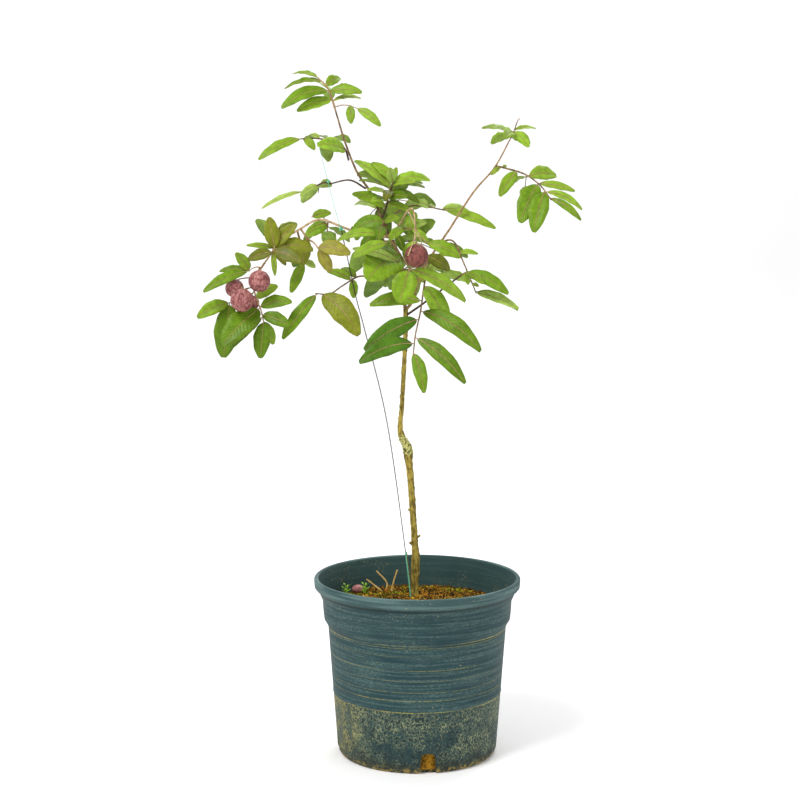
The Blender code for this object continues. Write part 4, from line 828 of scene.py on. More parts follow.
# %% Heaps
class Heap:
    """Many small shapes that become one mesh."""

    def __init__(self):
        self.corners = []
        self.faces = []
        self.finishes = []
        self.charts = []

    def add(self, corners, faces, finish=0, charts=()):
        first = len(self.corners)
        self.corners += corners
        self.charts += charts
        self.faces += [tuple(first + k for k in face) for face in faces]
        self.finishes += [finish] * len(faces)

    def piece(self, name, finishes):
        """One smooth object at the origin."""
        shape = bpy.data.meshes.new(name)
        shape.from_pydata(self.corners, [], self.faces)
        for finish in finishes:
            shape.materials.append(finish)
        shape.polygons.foreach_set("material_index", self.finishes)
        shape.polygons.foreach_set("use_smooth", [True] * len(self.faces))
        if self.charts:
            chart = shape.uv_layers.new(name="Chart")
            for loop in shape.loops:
                chart.data[loop.index].uv = self.charts[loop.vertex_index]
        made = bpy.data.objects.new(name, shape)
        bpy.context.scene.collection.objects.link(made)
        return made


def settle(piece, slot, *replaced):
    """The piece belongs to the tree and stands for some CAD nodes. The slot is not used."""
    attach(piece, "root")
    if replaced:
        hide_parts(*replaced)
    print(piece.name, "has", len(piece.data.polygons), "faces")


# %% Tubes
def tube(points, radii, sides, skin=None):
    """Corners and faces of a closed tube."""
    corners = []
    faces = []
    last = len(points) - 1
    across = (points[1] - points[0]).orthogonal().normalized()
    for k, (point, radius) in enumerate(zip(points, radii)):
        run = (points[min(k + 1, last)] - points[max(k - 1, 0)]).normalized()
        across = (across - run * across.dot(run)).normalized()
        for turn in range(sides):
            out = Quaternion(run, math.tau * turn / sides) @ across
            place = point + out * radius
            corners.append(place + out * skin(place) if skin else place)
    for k in range(last):
        for turn in range(sides):
            a = k * sides + turn
            b = k * sides + (turn + 1) % sides
            faces.append((a, b, b + sides, a + sides))
    faces.append(tuple(range(sides))[::-1])
    faces.append(tuple(last * sides + turn for turn in range(sides)))
    return corners, faces


def fine(points, radii, step):
    """The same curve with a point at every step of its length, and the radii between."""
    length = sum((b - a).length for a, b in zip(points, points[1:]))
    count = max(int(length / step), 2)
    legs = [0.0]
    for a, b in zip(points, points[1:]):
        legs.append(legs[-1] + (b - a).length)
    places = []
    widths = []
    leg = 0
    for k in range(count + 1):
        gone = length * k / count
        while leg < len(points) - 2 and legs[leg + 1] < gone:
            leg += 1
        part = (gone - legs[leg]) / (legs[leg + 1] - legs[leg])
        places.append(points[leg].lerp(points[leg + 1], part))
        widths.append(radii[leg] + (radii[leg + 1] - radii[leg]) * part)
    return places, widths


print("heaps and tubes are ready")

# %% [markdown]
# ## Bark
#
# Longan bark on so young a tree is thin and dull: olive tan low on the trunk, browner above, with fine
# cracks that run along the stem and pale specks. A formula in the tree's own coordinates, stretched along
# the height, gives cracks without seams. Each limb has its own two colours, because old wood, shaded wood
# and sunburnt wood differ on the real tree.

# %% Bark finishes
BARKS = {
    "old": ((0.40, 0.310, 0.062), (0.115, 0.080, 0.016)),
    "brown": ((0.29, 0.190, 0.090), (0.105, 0.066, 0.034)),
    "pale": ((0.56, 0.400, 0.230), (0.29, 0.185, 0.090)),
    "dark": ((0.125, 0.078, 0.050), (0.045, 0.028, 0.020)),
    "tan": ((0.42, 0.275, 0.140), (0.23, 0.135, 0.062)),
    "rib": ((0.36, 0.300, 0.095), (0.24, 0.195, 0.055)),
    "straw": ((0.64, 0.450, 0.160), (0.42, 0.270, 0.080)),
}
GRAFT_LOW = 0.432
GRAFT_HIGH = 0.472
CALLUS = (0.50, 0.49, 0.17)
CALLUS_SPECKS = (0.045, 0.050, 0.020)


def bark_finish(name, light, dark):
    finish = Finish(name + " bark", 0.85, 0.15)
    cracks = finish.cloud(420, 4, (1, 1, 0.30))
    patches = finish.cloud(150, 4, (1, 1, 0.7))
    specks = 1 - finish.cells(520).ease(0.16, 0.30)
    colour = finish.blend((cracks * 0.45 + patches * 0.55).ease(0.38, 0.60), dark, light)
    colour = finish.blend(specks * patches.ease(0.45, 0.65) * 0.5, colour, tuple(1.25 * c for c in light))
    return finish, colour, cracks


barks = {}
for name, (light, dark) in BARKS.items():
    finish, colour, cracks = bark_finish(name, light, dark)
    if name == "old":
        high = finish.height()
        callus = high.ease(GRAFT_LOW - 0.010, GRAFT_LOW + 0.008)
        callus = callus * (1 - high.ease(GRAFT_HIGH - 0.010, GRAFT_HIGH + 0.006))
        ragged = callus * (0.30 + finish.cloud(260, 5))
        colour = finish.blend(ragged.ease(0.66, 0.82), colour, CALLUS)
        twist = finish.cloud(430, 4, (1, 1, 0.6)).ease(0.53, 0.58)
        colour = finish.blend(0.9 * callus * twist, colour, CALLUS_SPECKS)
    barks[name] = finish.done(colour, None, cracks, 0.0006)
print(len(barks), "barks")

# %% [markdown]
# ## Trunk and boughs
#
# The trunk flares at its foot, kinks at the graft where a callus has swollen, and carries three pruned
# spurs. Each limb is one tapering tube with a ring every millimetre or so. Noise that is stretched along
# the stem raises ridges and opens cracks, and a little gathering of ridges makes the old leaf scars.

# %% Trunk
TRUNK = (
    (-0.0030, 0.020, 0.2278, 0.0056),
    (-0.0030, 0.020, 0.2360, 0.0047),
    (-0.0030, 0.020, 0.2460, 0.0052),
    (-0.0028, 0.020, 0.2600, 0.0062),
    (-0.0020, 0.020, 0.2840, 0.0062),
    (-0.0028, 0.020, 0.2960, 0.0051),
    (-0.0048, 0.020, 0.3300, 0.0048),
    (-0.0085, 0.020, 0.3850, 0.0048),
    (-0.0108, 0.020, 0.4140, 0.0051),
    (-0.0125, 0.020, 0.4280, 0.0059),
    (-0.0135, 0.020, 0.4410, 0.0071),
    (-0.0164, 0.020, 0.4500, 0.0056),
    (-0.0212, 0.020, 0.4600, 0.0048),
    (-0.0246, 0.020, 0.4710, 0.0039),
    (-0.0244, 0.020, 0.4830, 0.0035),
    (-0.0226, 0.020, 0.5020, 0.0033),
    (-0.0202, 0.020, 0.5450, 0.0032),
    (-0.0170, 0.020, 0.6120, 0.0033),
    (-0.0170, 0.020, 0.6480, 0.0036),
)
# Pruned spurs on the trunk, as part of its length, direction and length
SPUR_THICK = 0.0024
SPUR_THIN = 0.0016
SPURS = (
    (0.175, (-0.9, -0.3, 0.5), 0.0095),
    (0.197, (0.9, -0.2, 0.6), 0.0100),
    (0.293, (-0.8, -0.5, 0.5), 0.0085),
)
TRUNK_RING = 0.0013
SCARS = (0.262, 0.296, 0.331, 0.368, 0.405, 0.489, 0.521, 0.556, 0.590, 0.622)


def bark_skin(place):
    """How far the bark stands out at a place."""
    ridge = noise.noise(Vector((place.x * 700, place.y * 700, place.z * 110)))
    lump = noise.noise(place * 230)
    scar = sum(math.exp(-((place.z - high) / 0.0016) ** 2) for high in SCARS)
    graft = max(0, 1 - abs(place.z - (GRAFT_LOW + GRAFT_HIGH) / 2) / 0.024)
    knobs = abs(noise.noise(place * 330)) * graft
    return 0.00030 * ridge + 0.00065 * lump + 0.0006 * scar * (0.5 + lump) + 0.0032 * knobs


route = smooth([knot[:3] for knot in TRUNK], 6)
radii = []
for a, b in zip(TRUNK, TRUNK[1:]):
    radii += [a[3] + (b[3] - a[3]) * k / 6 for k in range(6)]
radii.append(TRUNK[-1][3])
wood = Heap()
wood.add(*tube(*fine(route, radii, TRUNK_RING), 22, bark_skin))
for part, way, length in SPURS:
    start, _ = along(route, part)
    end = start + Vector(way).normalized() * length
    wood.add(*tube(*fine([start, end], [SPUR_THICK * 1.15, SPUR_THIN], 0.0012), 10, bark_skin))
trunk = wood.piece("trunk_bark", [barks["old"]])
settle(trunk, "bark", "trunk")

# %% Boughs
LIMB_RING = 0.0016
LIMB_SLIM = 0.9
LIMB_BARKS = {"leader": "brown", "right_bough": "tan", "lower_right_bough": "dark",
              "left_bough": "pale", "drooping_branch": "dark"}


def shoot_skin(place):
    """Young wood: low ridges and small scars."""
    ridge = noise.noise(Vector((place.x * 900, place.y * 900, place.z * 260)))
    lump = noise.noise(place * 330)
    return 0.00010 * ridge + 0.00022 * lump


for name, limb in LIMBS.items():
    points = smooth(limb.route, 8)
    radii = [LIMB_SLIM * radius for radius in taper(len(points), limb.thick, limb.thin)]
    wood = Heap()
    wood.add(*tube(*fine(points, radii, LIMB_RING), 14, shoot_skin))
    settle(wood.piece(name + "_bark", [barks[LIMB_BARKS[name]]]), "bark", name)

# %% [markdown]
# ## Leaf finishes
#
# Longan leaflets are leathery: a soft gloss above, dull and paler below, with a pinkish tan rib. On this
# tree they run from deep green on the old hanging leaves through fresh green to lime on new growth, and
# some on the left have gone olive and bronze. Each of these is a plain colour with side veins, faint
# mottling and a paler margin. Those are read from where on the leaf a spot lies, so each corner carries
# its share of the length and its distance from the rib. Each spray is dealt its own greens, in order.

# %% Greens
GREENS = {
    "deep": (0.060, 0.152, 0.003),
    "mid": (0.098, 0.186, 0.003),
    "fresh": (0.132, 0.246, 0.005),
    "spring": (0.176, 0.302, 0.010),
    "lime": (0.214, 0.352, 0.020),
    "bright": (0.255, 0.430, 0.026),
    "pale": (0.325, 0.470, 0.080),
    "olive": (0.176, 0.202, 0.008),
    "dusk": (0.120, 0.140, 0.006),
    "bronze": (0.250, 0.236, 0.026),
}
UNDERSIDE = (0.230, 0.310, 0.080)
SIDE_VEINS = 13
VEIN_SLANT = 2.6


def blade_finish(name, green, roughness, strong):
    """A leaf's green with its side veins, mottling, a paler margin and a few brown spots."""
    finish = Finish(name, roughness, 0.22)
    length, side = finish.chart()
    slow = finish.cloud(34, 3)
    mottle = 0.5 * slow + 0.5 * finish.cloud(150, 3)
    wander = length + 0.035 * finish.cloud(60, 2)
    vein = finish.maths("SINE", math.tau * (SIDE_VEINS * wander - VEIN_SLANT * side))
    darker = tuple(0.76 * c for c in green)
    colour = finish.blend(mottle.ease(0.34, 0.66), darker, tuple(1.24 * c for c in green))
    lighter = tuple(1.25 * c + 0.015 for c in green)
    colour = finish.blend(strong * 0.34 * vein.ease(0.5, 1.0) * slow.ease(0.35, 0.55), colour, lighter)
    middle = 0.35 * (1 - side.ease(0.0, 0.16))
    colour = finish.blend(middle, colour, (0.9 * green[0] + 0.06, 0.75 * green[1] + 0.03, green[2] + 0.01))
    warm = (1.35 * green[0] + 0.02, 1.12 * green[1] + 0.01, green[2] + 0.01)
    colour = finish.blend(0.6 * side.ease(0.84, 1.0), colour, warm)
    spot = finish.cloud(240, 2).ease(0.70, 0.76) * slow.ease(0.46, 0.6)
    colour = finish.blend(0.4 * spot, colour, (0.190, 0.115, 0.018))
    relief = 0.6 * vein * slow.ease(0.35, 0.6) + 0.4 * finish.cloud(330, 2)
    return finish.done(colour, roughness - 0.06 + 0.14 * mottle, relief, 0.00030 * strong)


leaf_finishes = []
for name, green in GREENS.items():
    leaf_finishes.append(blade_finish(name + " leaf", green, 0.42, 1))
    below = tuple(0.6 * a + 0.4 * b for a, b in zip(green, UNDERSIDE))
    leaf_finishes.append(blade_finish(name + " leaf underside", below, 0.66, 0.6))
print(len(leaf_finishes), "leaf finishes")

# %% Which spray gets which greens, leaflet by leaflet and then round again
SPRAY_GREENS = {
    "crown_tip": "bright fresh fresh spring spring spring pale spring lime spring bright bright",
    "leader_side": "spring spring bright pale lime fresh",
    "left_drooping": "pale pale pale pale mid",
    "crown_top": "spring lime mid lime spring pale bright pale lime bright fresh lime dusk mid mid bright",
    "right_crossing": "pale pale lime pale",
    "centre_left": "fresh spring mid lime lime mid",
    "centre_right": "pale spring bright mid mid spring",
    "fruit_spray": "spring dusk bright",
    "front_left": "spring spring lime pale bright",
    "front_hanging": "deep deep mid mid fresh bright spring",
    "right_inner": "bronze pale",
    "lower_right": "fresh spring bright",
    "right_rachis": "bright lime pale lime pale",
    "right_tip": "spring lime bright bright lime bright",
    "right_arm": "lime bright spring lime lime fresh fresh bright fresh spring lime bright",
    "left_inner": "bronze bronze olive",
    "left_back": "lime bright lime fresh mid bright",
    "left_under": "spring mid pale",
    "left_outer": "olive olive olive dusk dusk lime lime olive mid",
    "left_fruit": "lime fresh fresh spring mid mid mid mid fresh mid spring lime",
    "left_low": "fresh olive bright lime fresh",
    "back_high": "lime mid fresh mid",
    "back_middle": "lime spring mid fresh",
    "back_low": "deep deep pale mid mid deep pale deep mid bright",
}
print(len(SPRAY_GREENS), "sprays have their greens")

# %% [markdown]
# ## Leaves
#
# A leaflet is a thin blade: narrow where it leaves its short stalk, nearly parallel along its middle, and
# blunt at the tip. It is folded a little along its rib, hangs in an arch under its own weight, and its edge
# ripples. A sheet of 56 faces shows all that, and a Solidify modifier gives it its thickness with the
# paler finish on its underside. The rib is a fine tube set into the sheet, from the stalk to the tip.

# %% One leaflet
BLADE_ROWS = (0.04, 0.07, 0.12, 0.19, 0.27, 0.36, 0.45, 0.54, 0.63, 0.72, 0.80, 0.87, 0.93, 0.975, 1.0)
BLADE_COLUMNS = (-1, -0.5, 0, 0.5, 1)
BLADE_THICK = 0.0006
STALK_RADIUS = 0.0008
RIB_END_RADIUS = 0.0002
ARCH = 0.07
EDGE_WAVE = 0.036


def blade_half(u, width):
    """Half the width of a real leaflet, fuller towards its tip than the CAD's."""
    blade = max(u - LEAF_STALK, 0) / (1 - 0.5 * LEAF_STALK)
    return 0.5 * width * math.sin(math.pi * min(blade, 0.997) ** 0.87) ** 0.62


def blade_place(frame, length, width, habit, u, w, rise=0):
    """A place on a leaflet, from its stalk to its tip and from edge to edge."""
    wave, sway, arch = habit
    half = blade_half(u, width) * (1 + EDGE_WAVE * math.sin(19 * u + 2 * wave + w))
    ripple = 0.09 * half * abs(w) ** 3 * math.sin(21 * u + wave + (1.7 if w > 0 else 0))
    spot = Vector((ROOT_SINK + u * length, w * half + sway * length * u * u,
                   LEAF_FOLD * abs(w) ** 1.3 * half - LEAF_BEND * length * u * u + ripple + rise))
    axis = frame.col[0].to_3d()
    lift = Vector((0, 0, 1)) - axis * axis.z
    return frame @ spot + lift * (arch * length * 4 * u * (1 - u))


def leaflet(blades, ribs, frame, length, width, chance, green, bark):
    """One leaflet's blade and rib."""
    habit = (chance.uniform(0, 6.3), chance.uniform(-0.05, 0.05), ARCH * chance.uniform(0.6, 1.4))
    corners = [blade_place(frame, length, width, habit, u, w) for u in BLADE_ROWS for w in BLADE_COLUMNS]
    count = len(BLADE_COLUMNS)
    faces = []
    for row in range(len(BLADE_ROWS) - 1):
        for k in range(count - 1):
            a = row * count + k
            faces.append((a, a + count, a + count + 1, a + 1))
    blades.add(corners, faces, 2 * green, [(u, abs(w)) for u in BLADE_ROWS for w in BLADE_COLUMNS])
    line = [blade_place(frame, length, width, habit, u, 0, 0.0001) for u in (0, *BLADE_ROWS[:-1])]
    ribs.add(*tube(line, taper(len(line), STALK_RADIUS, RIB_END_RADIUS), 5), bark)


# %% All leaves, stems and ribs
STEM_BARKS = {"crown_tip": "tan", "leader_side": "dark", "left_drooping": "dark", "crown_top": "dark",
              "fruit_spray": "pale", "left_inner": "tan", "left_outer": "tan", "left_fruit": "tan"}
TWIG_BARKS = ("tan", "dark", "pale", "brown", "rib")
TAN_RIBS = ("front_left", "front_hanging", "left_inner", "left_outer", "left_low", "right_arm", "left_back")

blades = Heap()
twigs = Heap()
greens = list(GREENS)
for name, mass in MASSES.items():
    bark = TWIG_BARKS.index(STEM_BARKS.get(name, "brown"))
    stem = smooth(mass.stem, 6)
    twigs.add(*tube(*fine(stem, taper(len(stem), 0.0015, 0.0009), 0.002), 8, shoot_skin), bark)
    for points, radii in tubes[name][1:]:
        line, widths = fine(points, [0.75 * radius for radius in radii], 0.003)
        twigs.add(*tube(line, widths, 7), bark)
    mix = SPRAY_GREENS[name].split()
    rib_bark = TWIG_BARKS.index("tan" if name in TAN_RIBS else "rib")
    for k, leaf in enumerate(leaves[name]):
        chance = random.Random(f"{name} {k}")
        leaflet(blades, twigs, *leaf, chance, greens.index(mix[k % len(mix)]), rib_bark)
foliage = blades.piece("leaves", leaf_finishes)
solid = foliage.modifiers.new("Thickness", "SOLIDIFY")
solid.thickness = BLADE_THICK
solid.offset = -1
solid.material_offset = 1
settle(foliage, "foliage", *MASSES)
settle(twigs.piece("twigs", [barks[name] for name in TWIG_BARKS]), "bark")

# %% [markdown]
# ## Fruits
#
# A longan is a ball with a thin leathery skin, faintly netted and dusty. These are unripe: pinkish mauve
# on the left, browner in the middle of the crown. Balls are added at the CAD's centres, a Displace
# modifier with a cell texture raises the netting, and short tubes make their stalks.

# %% Fruit skin
def fruit_finish(name, light, dark, dusty):
    """A fruit's skin, mottled between two colours and dusted pale as much as is said."""
    finish = Finish(name + " fruit skin", 0.6, 0.2)
    net = finish.cells(330)
    dust = finish.cloud(150, 5)
    fine_dust = finish.cloud(420, 4, (1.6, 1, 0.6))
    colour = finish.blend(dust.ease(0.36, 0.62), dark, light)
    pale = tuple(min(1.30 * c + 0.07, 1) for c in light)
    colour = finish.blend(fine_dust.ease(0.50, 0.60) * dust.ease(0.3, 0.55) * dusty, colour, pale)
    return finish.done(colour, 0.5 + 0.2 * dust, net * 0.6 + fine_dust * 0.4, 0.0007)


skins = {
    "pink": fruit_finish("Pink", (0.320, 0.118, 0.106), (0.165, 0.042, 0.044), 0.9),
    "brown": fruit_finish("Brown", (0.230, 0.066, 0.052), (0.105, 0.036, 0.026), 0.35),
}

# %% Fruits
BALL_FINENESS = 5
NET_SIZE = 0.0035
NET_RELIEF = 0.0005

net_texture = bpy.data.textures.new("Fruit net", "VORONOI")
net_texture.noise_scale = NET_SIZE


def ball(name, centre, radius, skin):
    """One netted ball."""
    bpy.ops.object.select_all(action="DESELECT")
    bpy.ops.mesh.primitive_ico_sphere_add(subdivisions=BALL_FINENESS, radius=radius - NET_RELIEF / 2,
                                          location=centre)
    made = bpy.context.object
    made.name = name
    bpy.ops.object.transform_apply(location=True, rotation=True, scale=True)
    relief = made.modifiers.new("Net", "DISPLACE")
    relief.texture = net_texture
    relief.texture_coords = "LOCAL"
    relief.strength = NET_RELIEF
    bpy.ops.object.modifier_apply(modifier="Net")
    bpy.ops.object.shade_smooth()
    made.data.materials.append(skin)
    return made


balls = []
stalks = Heap()
for name, mass in MASSES.items():
    for k, fruit in enumerate(mass.fruits):
        centre = Vector(fruit.centre)
        skin = skins["pink" if name == "left_fruit" else "brown"]
        balls.append(ball(f"{name}_fruit_{k}", centre, fruit.radius, skin))
        seat = centre + Vector((0, 0, fruit.radius))
        line = [seat + Vector((0, 0, 0.003)), seat, seat - Vector((0, 0, 0.001))]
        stalks.add(*tube(*fine(line, (0.0011, 0.0016, 0.0024), 0.0006), 10, shoot_skin))
bpy.ops.object.select_all(action="DESELECT")
for made in balls:
    made.select_set(True)
bpy.context.view_layer.objects.active = balls[0]
bpy.ops.object.join()
balls[0].name = "fruits"
settle(balls[0], "fruit")
settle(stalks.piece("fruit_seats", [barks["tan"]]), "bark")

# %% [markdown]
# ## Pot plastic
#
# A nursery pot is thin moulded plastic, here a dark blue green that years outdoors have dulled. It has been
# turned on gritty benches, so fine ochre scratches run round it. Watering has splashed soil up its lower
# third, where it has dried in a fine crawling pattern with a sharp upper edge, and has been wiped off in an
# arc. Shade is painted in too: a dark line under the lip, dark crawling lines below the splash line and a
# darker foot. All that has a place, so the formula reads the height above the ground and the way across.

# %% Scratches and scuffs, as height, half width and strength
SCRATCHES = ((0.1893, 0.0009, 1.0), (0.1858, 0.0006, 0.4), (0.1735, 0.0005, 0.35), (0.1530, 0.0006, 0.5),
             (0.1375, 0.0005, 0.35), (0.1210, 0.0005, 0.5), (0.1085, 0.0006, 0.7), (0.0915, 0.0009, 1.0))
SPLASH_TOP = 0.0910
WIPED = ((-0.013, 0.120, 0.0925, 0.0170, 0.085), (0.030, 0.078, 0.030, 0.018, 0.036))
SMILE = (-0.019, 0.074, 0.034, 0.0035, 0.026)
DIRT = (0.300, 0.325, 0.165)
OCHRE = (0.400, 0.340, 0.070)


def arc(finish, across, high, spot):
    """A hanging arc on the front: one at its middle and nothing beyond its half width."""
    x, z, radius, half, reach = spot
    side = across - x
    rise = high - z
    reached = finish.maths("SQRT", side * side + rise * rise)
    band = 1 - finish.maths("ABSOLUTE", reached - radius).ease(0.1 * half, half)
    ends = 1 - finish.maths("ABSOLUTE", side).ease(0.5 * reach, reach)
    return band * ends * (1 - rise.ease(-0.02, 0.0))


def pot_finish(name, plain, scuffed):
    """Dull plastic: streaks that run round it and a haze."""
    finish = Finish(name, 0.55, 0.22)
    streak = finish.cloud(9, 8, (1, 1, 30))
    haze = finish.cloud(17, 4)
    fleck = finish.cloud(360, 3)
    grit = finish.cloud(240, 4, (1, 1, 2))
    rubbed = 0.65 * streak.ease(0.40, 0.64) + 0.3 * haze.ease(0.35, 0.7)
    colour = finish.blend(rubbed * (0.55 + 0.9 * grit.ease(0.40, 0.66)), plain, scuffed)
    return finish, colour, streak, haze, fleck


def weathered(finish, colour, streak, haze, fleck):
    """Scratches, the dried splash, what has been wiped off it, and painted shade under the lip, below the
    splash line and at the foot.
    """
    high = finish.height()
    across = finish.sideways()
    broken = finish.cloud(9, 4, (1, 1, 40))
    lines = 0
    for level, half, strength in SCRATCHES:
        line = 1 - finish.maths("ABSOLUTE", high - level).ease(0.4 * half, half)
        lines = lines + strength * line
    colour = finish.blend(lines * broken.ease(0.36, 0.56) * fleck.ease(0.30, 0.55), colour, OCHRE)
    patch = finish.cloud(48, 5)
    left = 1 - across.ease(-0.125, -0.060)
    wiped = arc(finish, across, high, WIPED[0]) + arc(finish, across, high, WIPED[1])
    bare = (0.9 * wiped + 2.4 * finish.cloud(70, 6) - 1.2).ease(0.0, 0.9)
    crawl = finish.cloud(250, 3, (1, 1, 0.8))
    worm = 1 - finish.maths("ABSOLUTE", crawl - 0.5).ease(0.010, 0.060)
    grain = worm * (finish.cloud(420, 3) + 0.08 * left - 0.17 * bare).ease(0.30, 0.50)
    low = 1 - high.ease(SPLASH_TOP - 0.0012, SPLASH_TOP)
    splash = low * (0.40 + 0.60 * patch.ease(0.38, 0.60)) * (1 - 0.5 * bare)
    splash = splash + 0.3 * arc(finish, across, high, SMILE)
    foot = (1 - high.ease(0.003, 0.012)) * finish.cloud(190, 4).ease(0.46, 0.60)
    colour = finish.blend(low * (0.60 + 0.30 * bare), colour, (0.009, 0.034, 0.039))
    # Painted shadow: darker crawling lines below the splash line, where the dried grains shade the wall
    colour = finish.blend(0.85 * low * crawl.ease(0.54, 0.62), colour, (0.005, 0.016, 0.018))
    dirt = finish.blend(left * patch.ease(0.30, 0.50), DIRT, OCHRE)
    colour = finish.blend(splash * (0.06 + 0.14 * left + 0.86 * grain), colour, dirt)
    # Painted shade: patchy darkening over the lowest few centimetres of the wall, near the floor
    painted_foot_shade = (1 - high.ease(0.012, 0.042)) * (0.4 + finish.cloud(52, 5)).ease(0.82, 0.98)
    colour = finish.blend(0.75 * painted_foot_shade, colour, (0.012, 0.024, 0.024))
    # Painted shade: the lowest centimetre or two of the wall, where it rounds under towards the floor, is
    # darkened
    colour = finish.blend(0.6 * (1 - high.ease(0.006, 0.020)), colour, (0.020, 0.024, 0.015))
    colour = finish.blend(0.9 * foot, colour, finish.blend(haze, (0.300, 0.180, 0.030), (0.42, 0.34, 0.10)))
    # Painted shadow: a dark line just under the rolled lip, where the lip shades the throat
    painted_lip_shadow = 1 - finish.maths("ABSOLUTE", high - 0.2415).ease(0.0006, 0.0036)
    colour = finish.blend(0.75 * painted_lip_shadow, colour, (0.008, 0.018, 0.017))
    lip = high.ease(0.2430, 0.2460)
    colour = finish.blend(lip * (0.25 + 0.6 * streak.ease(0.42, 0.62)), colour, (0.095, 0.165, 0.158))
    bright = fleck.ease(0.70, 0.74) * haze.ease(0.45, 0.6)
    return finish.blend(bright, colour, (0.44, 0.36, 0.18)), 0.4 * streak + 0.5 * splash * grain


finish, colour, streak, haze, fleck = pot_finish("Dulled green plastic",
                                                 (0.011, 0.040, 0.047), (0.062, 0.112, 0.104))
colour, relief = weathered(finish, colour, streak, haze, fleck)
plastic = finish.done(colour, 0.50 + 0.25 * haze, relief, 0.0004)
finish, colour, streak, haze, fleck = pot_finish("Inside of the pot",
                                                 (0.022, 0.056, 0.056), (0.042, 0.078, 0.070))
colour = finish.blend(fleck.ease(0.62, 0.68) * haze.ease(0.50, 0.58), colour, (0.22, 0.185, 0.085))
shade_plastic = finish.done(colour, 0.75, fleck, 0.0003)
print("two plastics")

# %% [markdown]
# ## Pot and soil
#
# Both are turned shapes. A circle is extruded and resized along a profile, as a potter raises a wall. The
# pot's profile goes from the foot up the outside, over the rolled lip and down the inside. Four arched
# cutters open the drainage holes at the foot, where the soil shows.

# %% Turning a profile
POT_HEIGHT = 0.260
RIM_RADIUS = 0.150
LIP_HEIGHT = 0.014
THROAT_RADIUS = 0.142
THROAT_HEIGHT = 0.237
COLLAR_RADIUS = 0.138
COLLAR_TOP = 0.228
COLLAR_FOOT_RADIUS = 0.1355
COLLAR_FOOT = 0.200
BODY_TOP = 0.191
BODY_RADIUS = 0.1298
FOOT_RADIUS = 0.1165
FOOT_ROUND = 0.009
POT_WALL = 0.0030
POT_FLOOR = 0.0040

# Four drainage arches that open at the foot of the wall, the first just right of the front
DRAIN_COUNT = 4
DRAIN_WIDTH = 0.021
DRAIN_HEIGHT = 0.031
DRAIN_SPREAD = 1.2
DRAIN_DEPTH = 0.010
DRAIN_ANGLE = -82.7
POT_SIDES = 144


def turned(name, profile, sides):
    """A circle raised along a profile of radius and height, closed at both ends."""
    bpy.ops.object.select_all(action="DESELECT")
    radius, height = profile[0]
    bpy.ops.mesh.primitive_circle_add(vertices=sides, radius=radius, location=(0, 0, height),
                                      fill_type="TRIFAN")
    made = bpy.context.object
    made.name = name
    bpy.ops.object.transform_apply(location=True, rotation=True, scale=True)
    bpy.ops.object.mode_set(mode="EDIT")
    bpy.ops.mesh.select_mode(type="EDGE")
    bpy.ops.mesh.select_all(action="DESELECT")
    bpy.ops.object.mode_set(mode="OBJECT")
    for edge in made.data.edges:
        edge.select = all(made.data.vertices[k].co.xy.length > radius / 2 for k in edge.vertices)
    bpy.ops.object.mode_set(mode="EDIT")
    for (r1, z1), (r2, z2) in zip(profile, profile[1:]):
        bpy.ops.mesh.extrude_region_move(TRANSFORM_OT_translate={"value": (0, 0, z2 - z1)})
        bpy.ops.transform.resize(value=(r2 / r1, r2 / r1, 1))
    bpy.ops.mesh.merge(type="CENTER")
    bpy.ops.mesh.select_all(action="SELECT")
    bpy.ops.mesh.normals_make_consistent(inside=False)
    bpy.ops.object.mode_set(mode="OBJECT")
    bpy.ops.object.shade_smooth_by_angle(angle=math.radians(40))
    return made


def bead(centre_radius, centre_height, size, first, last, steps):
    """Points of a rounded corner in a profile."""
    turns = [math.radians(first + (last - first) * k / steps) for k in range(steps + 1)]
    return [(centre_radius + size * math.cos(turn), centre_height + size * math.sin(turn))
            for turn in turns]


# %% The pot
SLOPE = (BODY_RADIUS - FOOT_RADIUS) / (BODY_TOP - FOOT_ROUND)
LIP_ROUND = 0.0035


def body_radius(z):
    return FOOT_RADIUS + SLOPE * (z - FOOT_ROUND)


outside = [(FOOT_RADIUS - 0.014, 0.0006), (FOOT_RADIUS - 0.0075, 0.0), (FOOT_RADIUS - 0.0042, 0.0014)]
outside += [(FOOT_RADIUS - 0.0020, 0.0042), (FOOT_RADIUS - 0.0006, 0.0070), (FOOT_RADIUS, FOOT_ROUND)]
outside += [(body_radius(z), z) for z in (0.014, 0.035, 0.065, 0.0905)]
outside += [(body_radius(0.092) + 0.0005, 0.0915), (body_radius(0.094) + 0.0005, 0.0935)]
outside += [(body_radius(z), z) for z in (0.095, 0.125, 0.158, 0.182)]
outside += [(BODY_RADIUS - 0.0002, 0.1885), (BODY_RADIUS + 0.0008, BODY_TOP)]
outside += [(COLLAR_FOOT_RADIUS - 0.0028, 0.1955), (COLLAR_FOOT_RADIUS, COLLAR_FOOT)]
outside += [(0.1364, 0.208), (0.1372, 0.218), (COLLAR_RADIUS - 0.0004, COLLAR_TOP - 0.001)]
outside += [(0.1395, 0.232), (THROAT_RADIUS - 0.0008, 0.2355), (THROAT_RADIUS, THROAT_HEIGHT + 0.001)]
outside += [(0.1440, 0.2415), (RIM_RADIUS - 0.0022, POT_HEIGHT - LIP_HEIGHT - 0.001)]
outside += [(RIM_RADIUS - 0.0006, POT_HEIGHT - LIP_HEIGHT + 0.001)]
outside += bead(RIM_RADIUS - LIP_ROUND, POT_HEIGHT - LIP_ROUND, LIP_ROUND, 0, 145, 9)
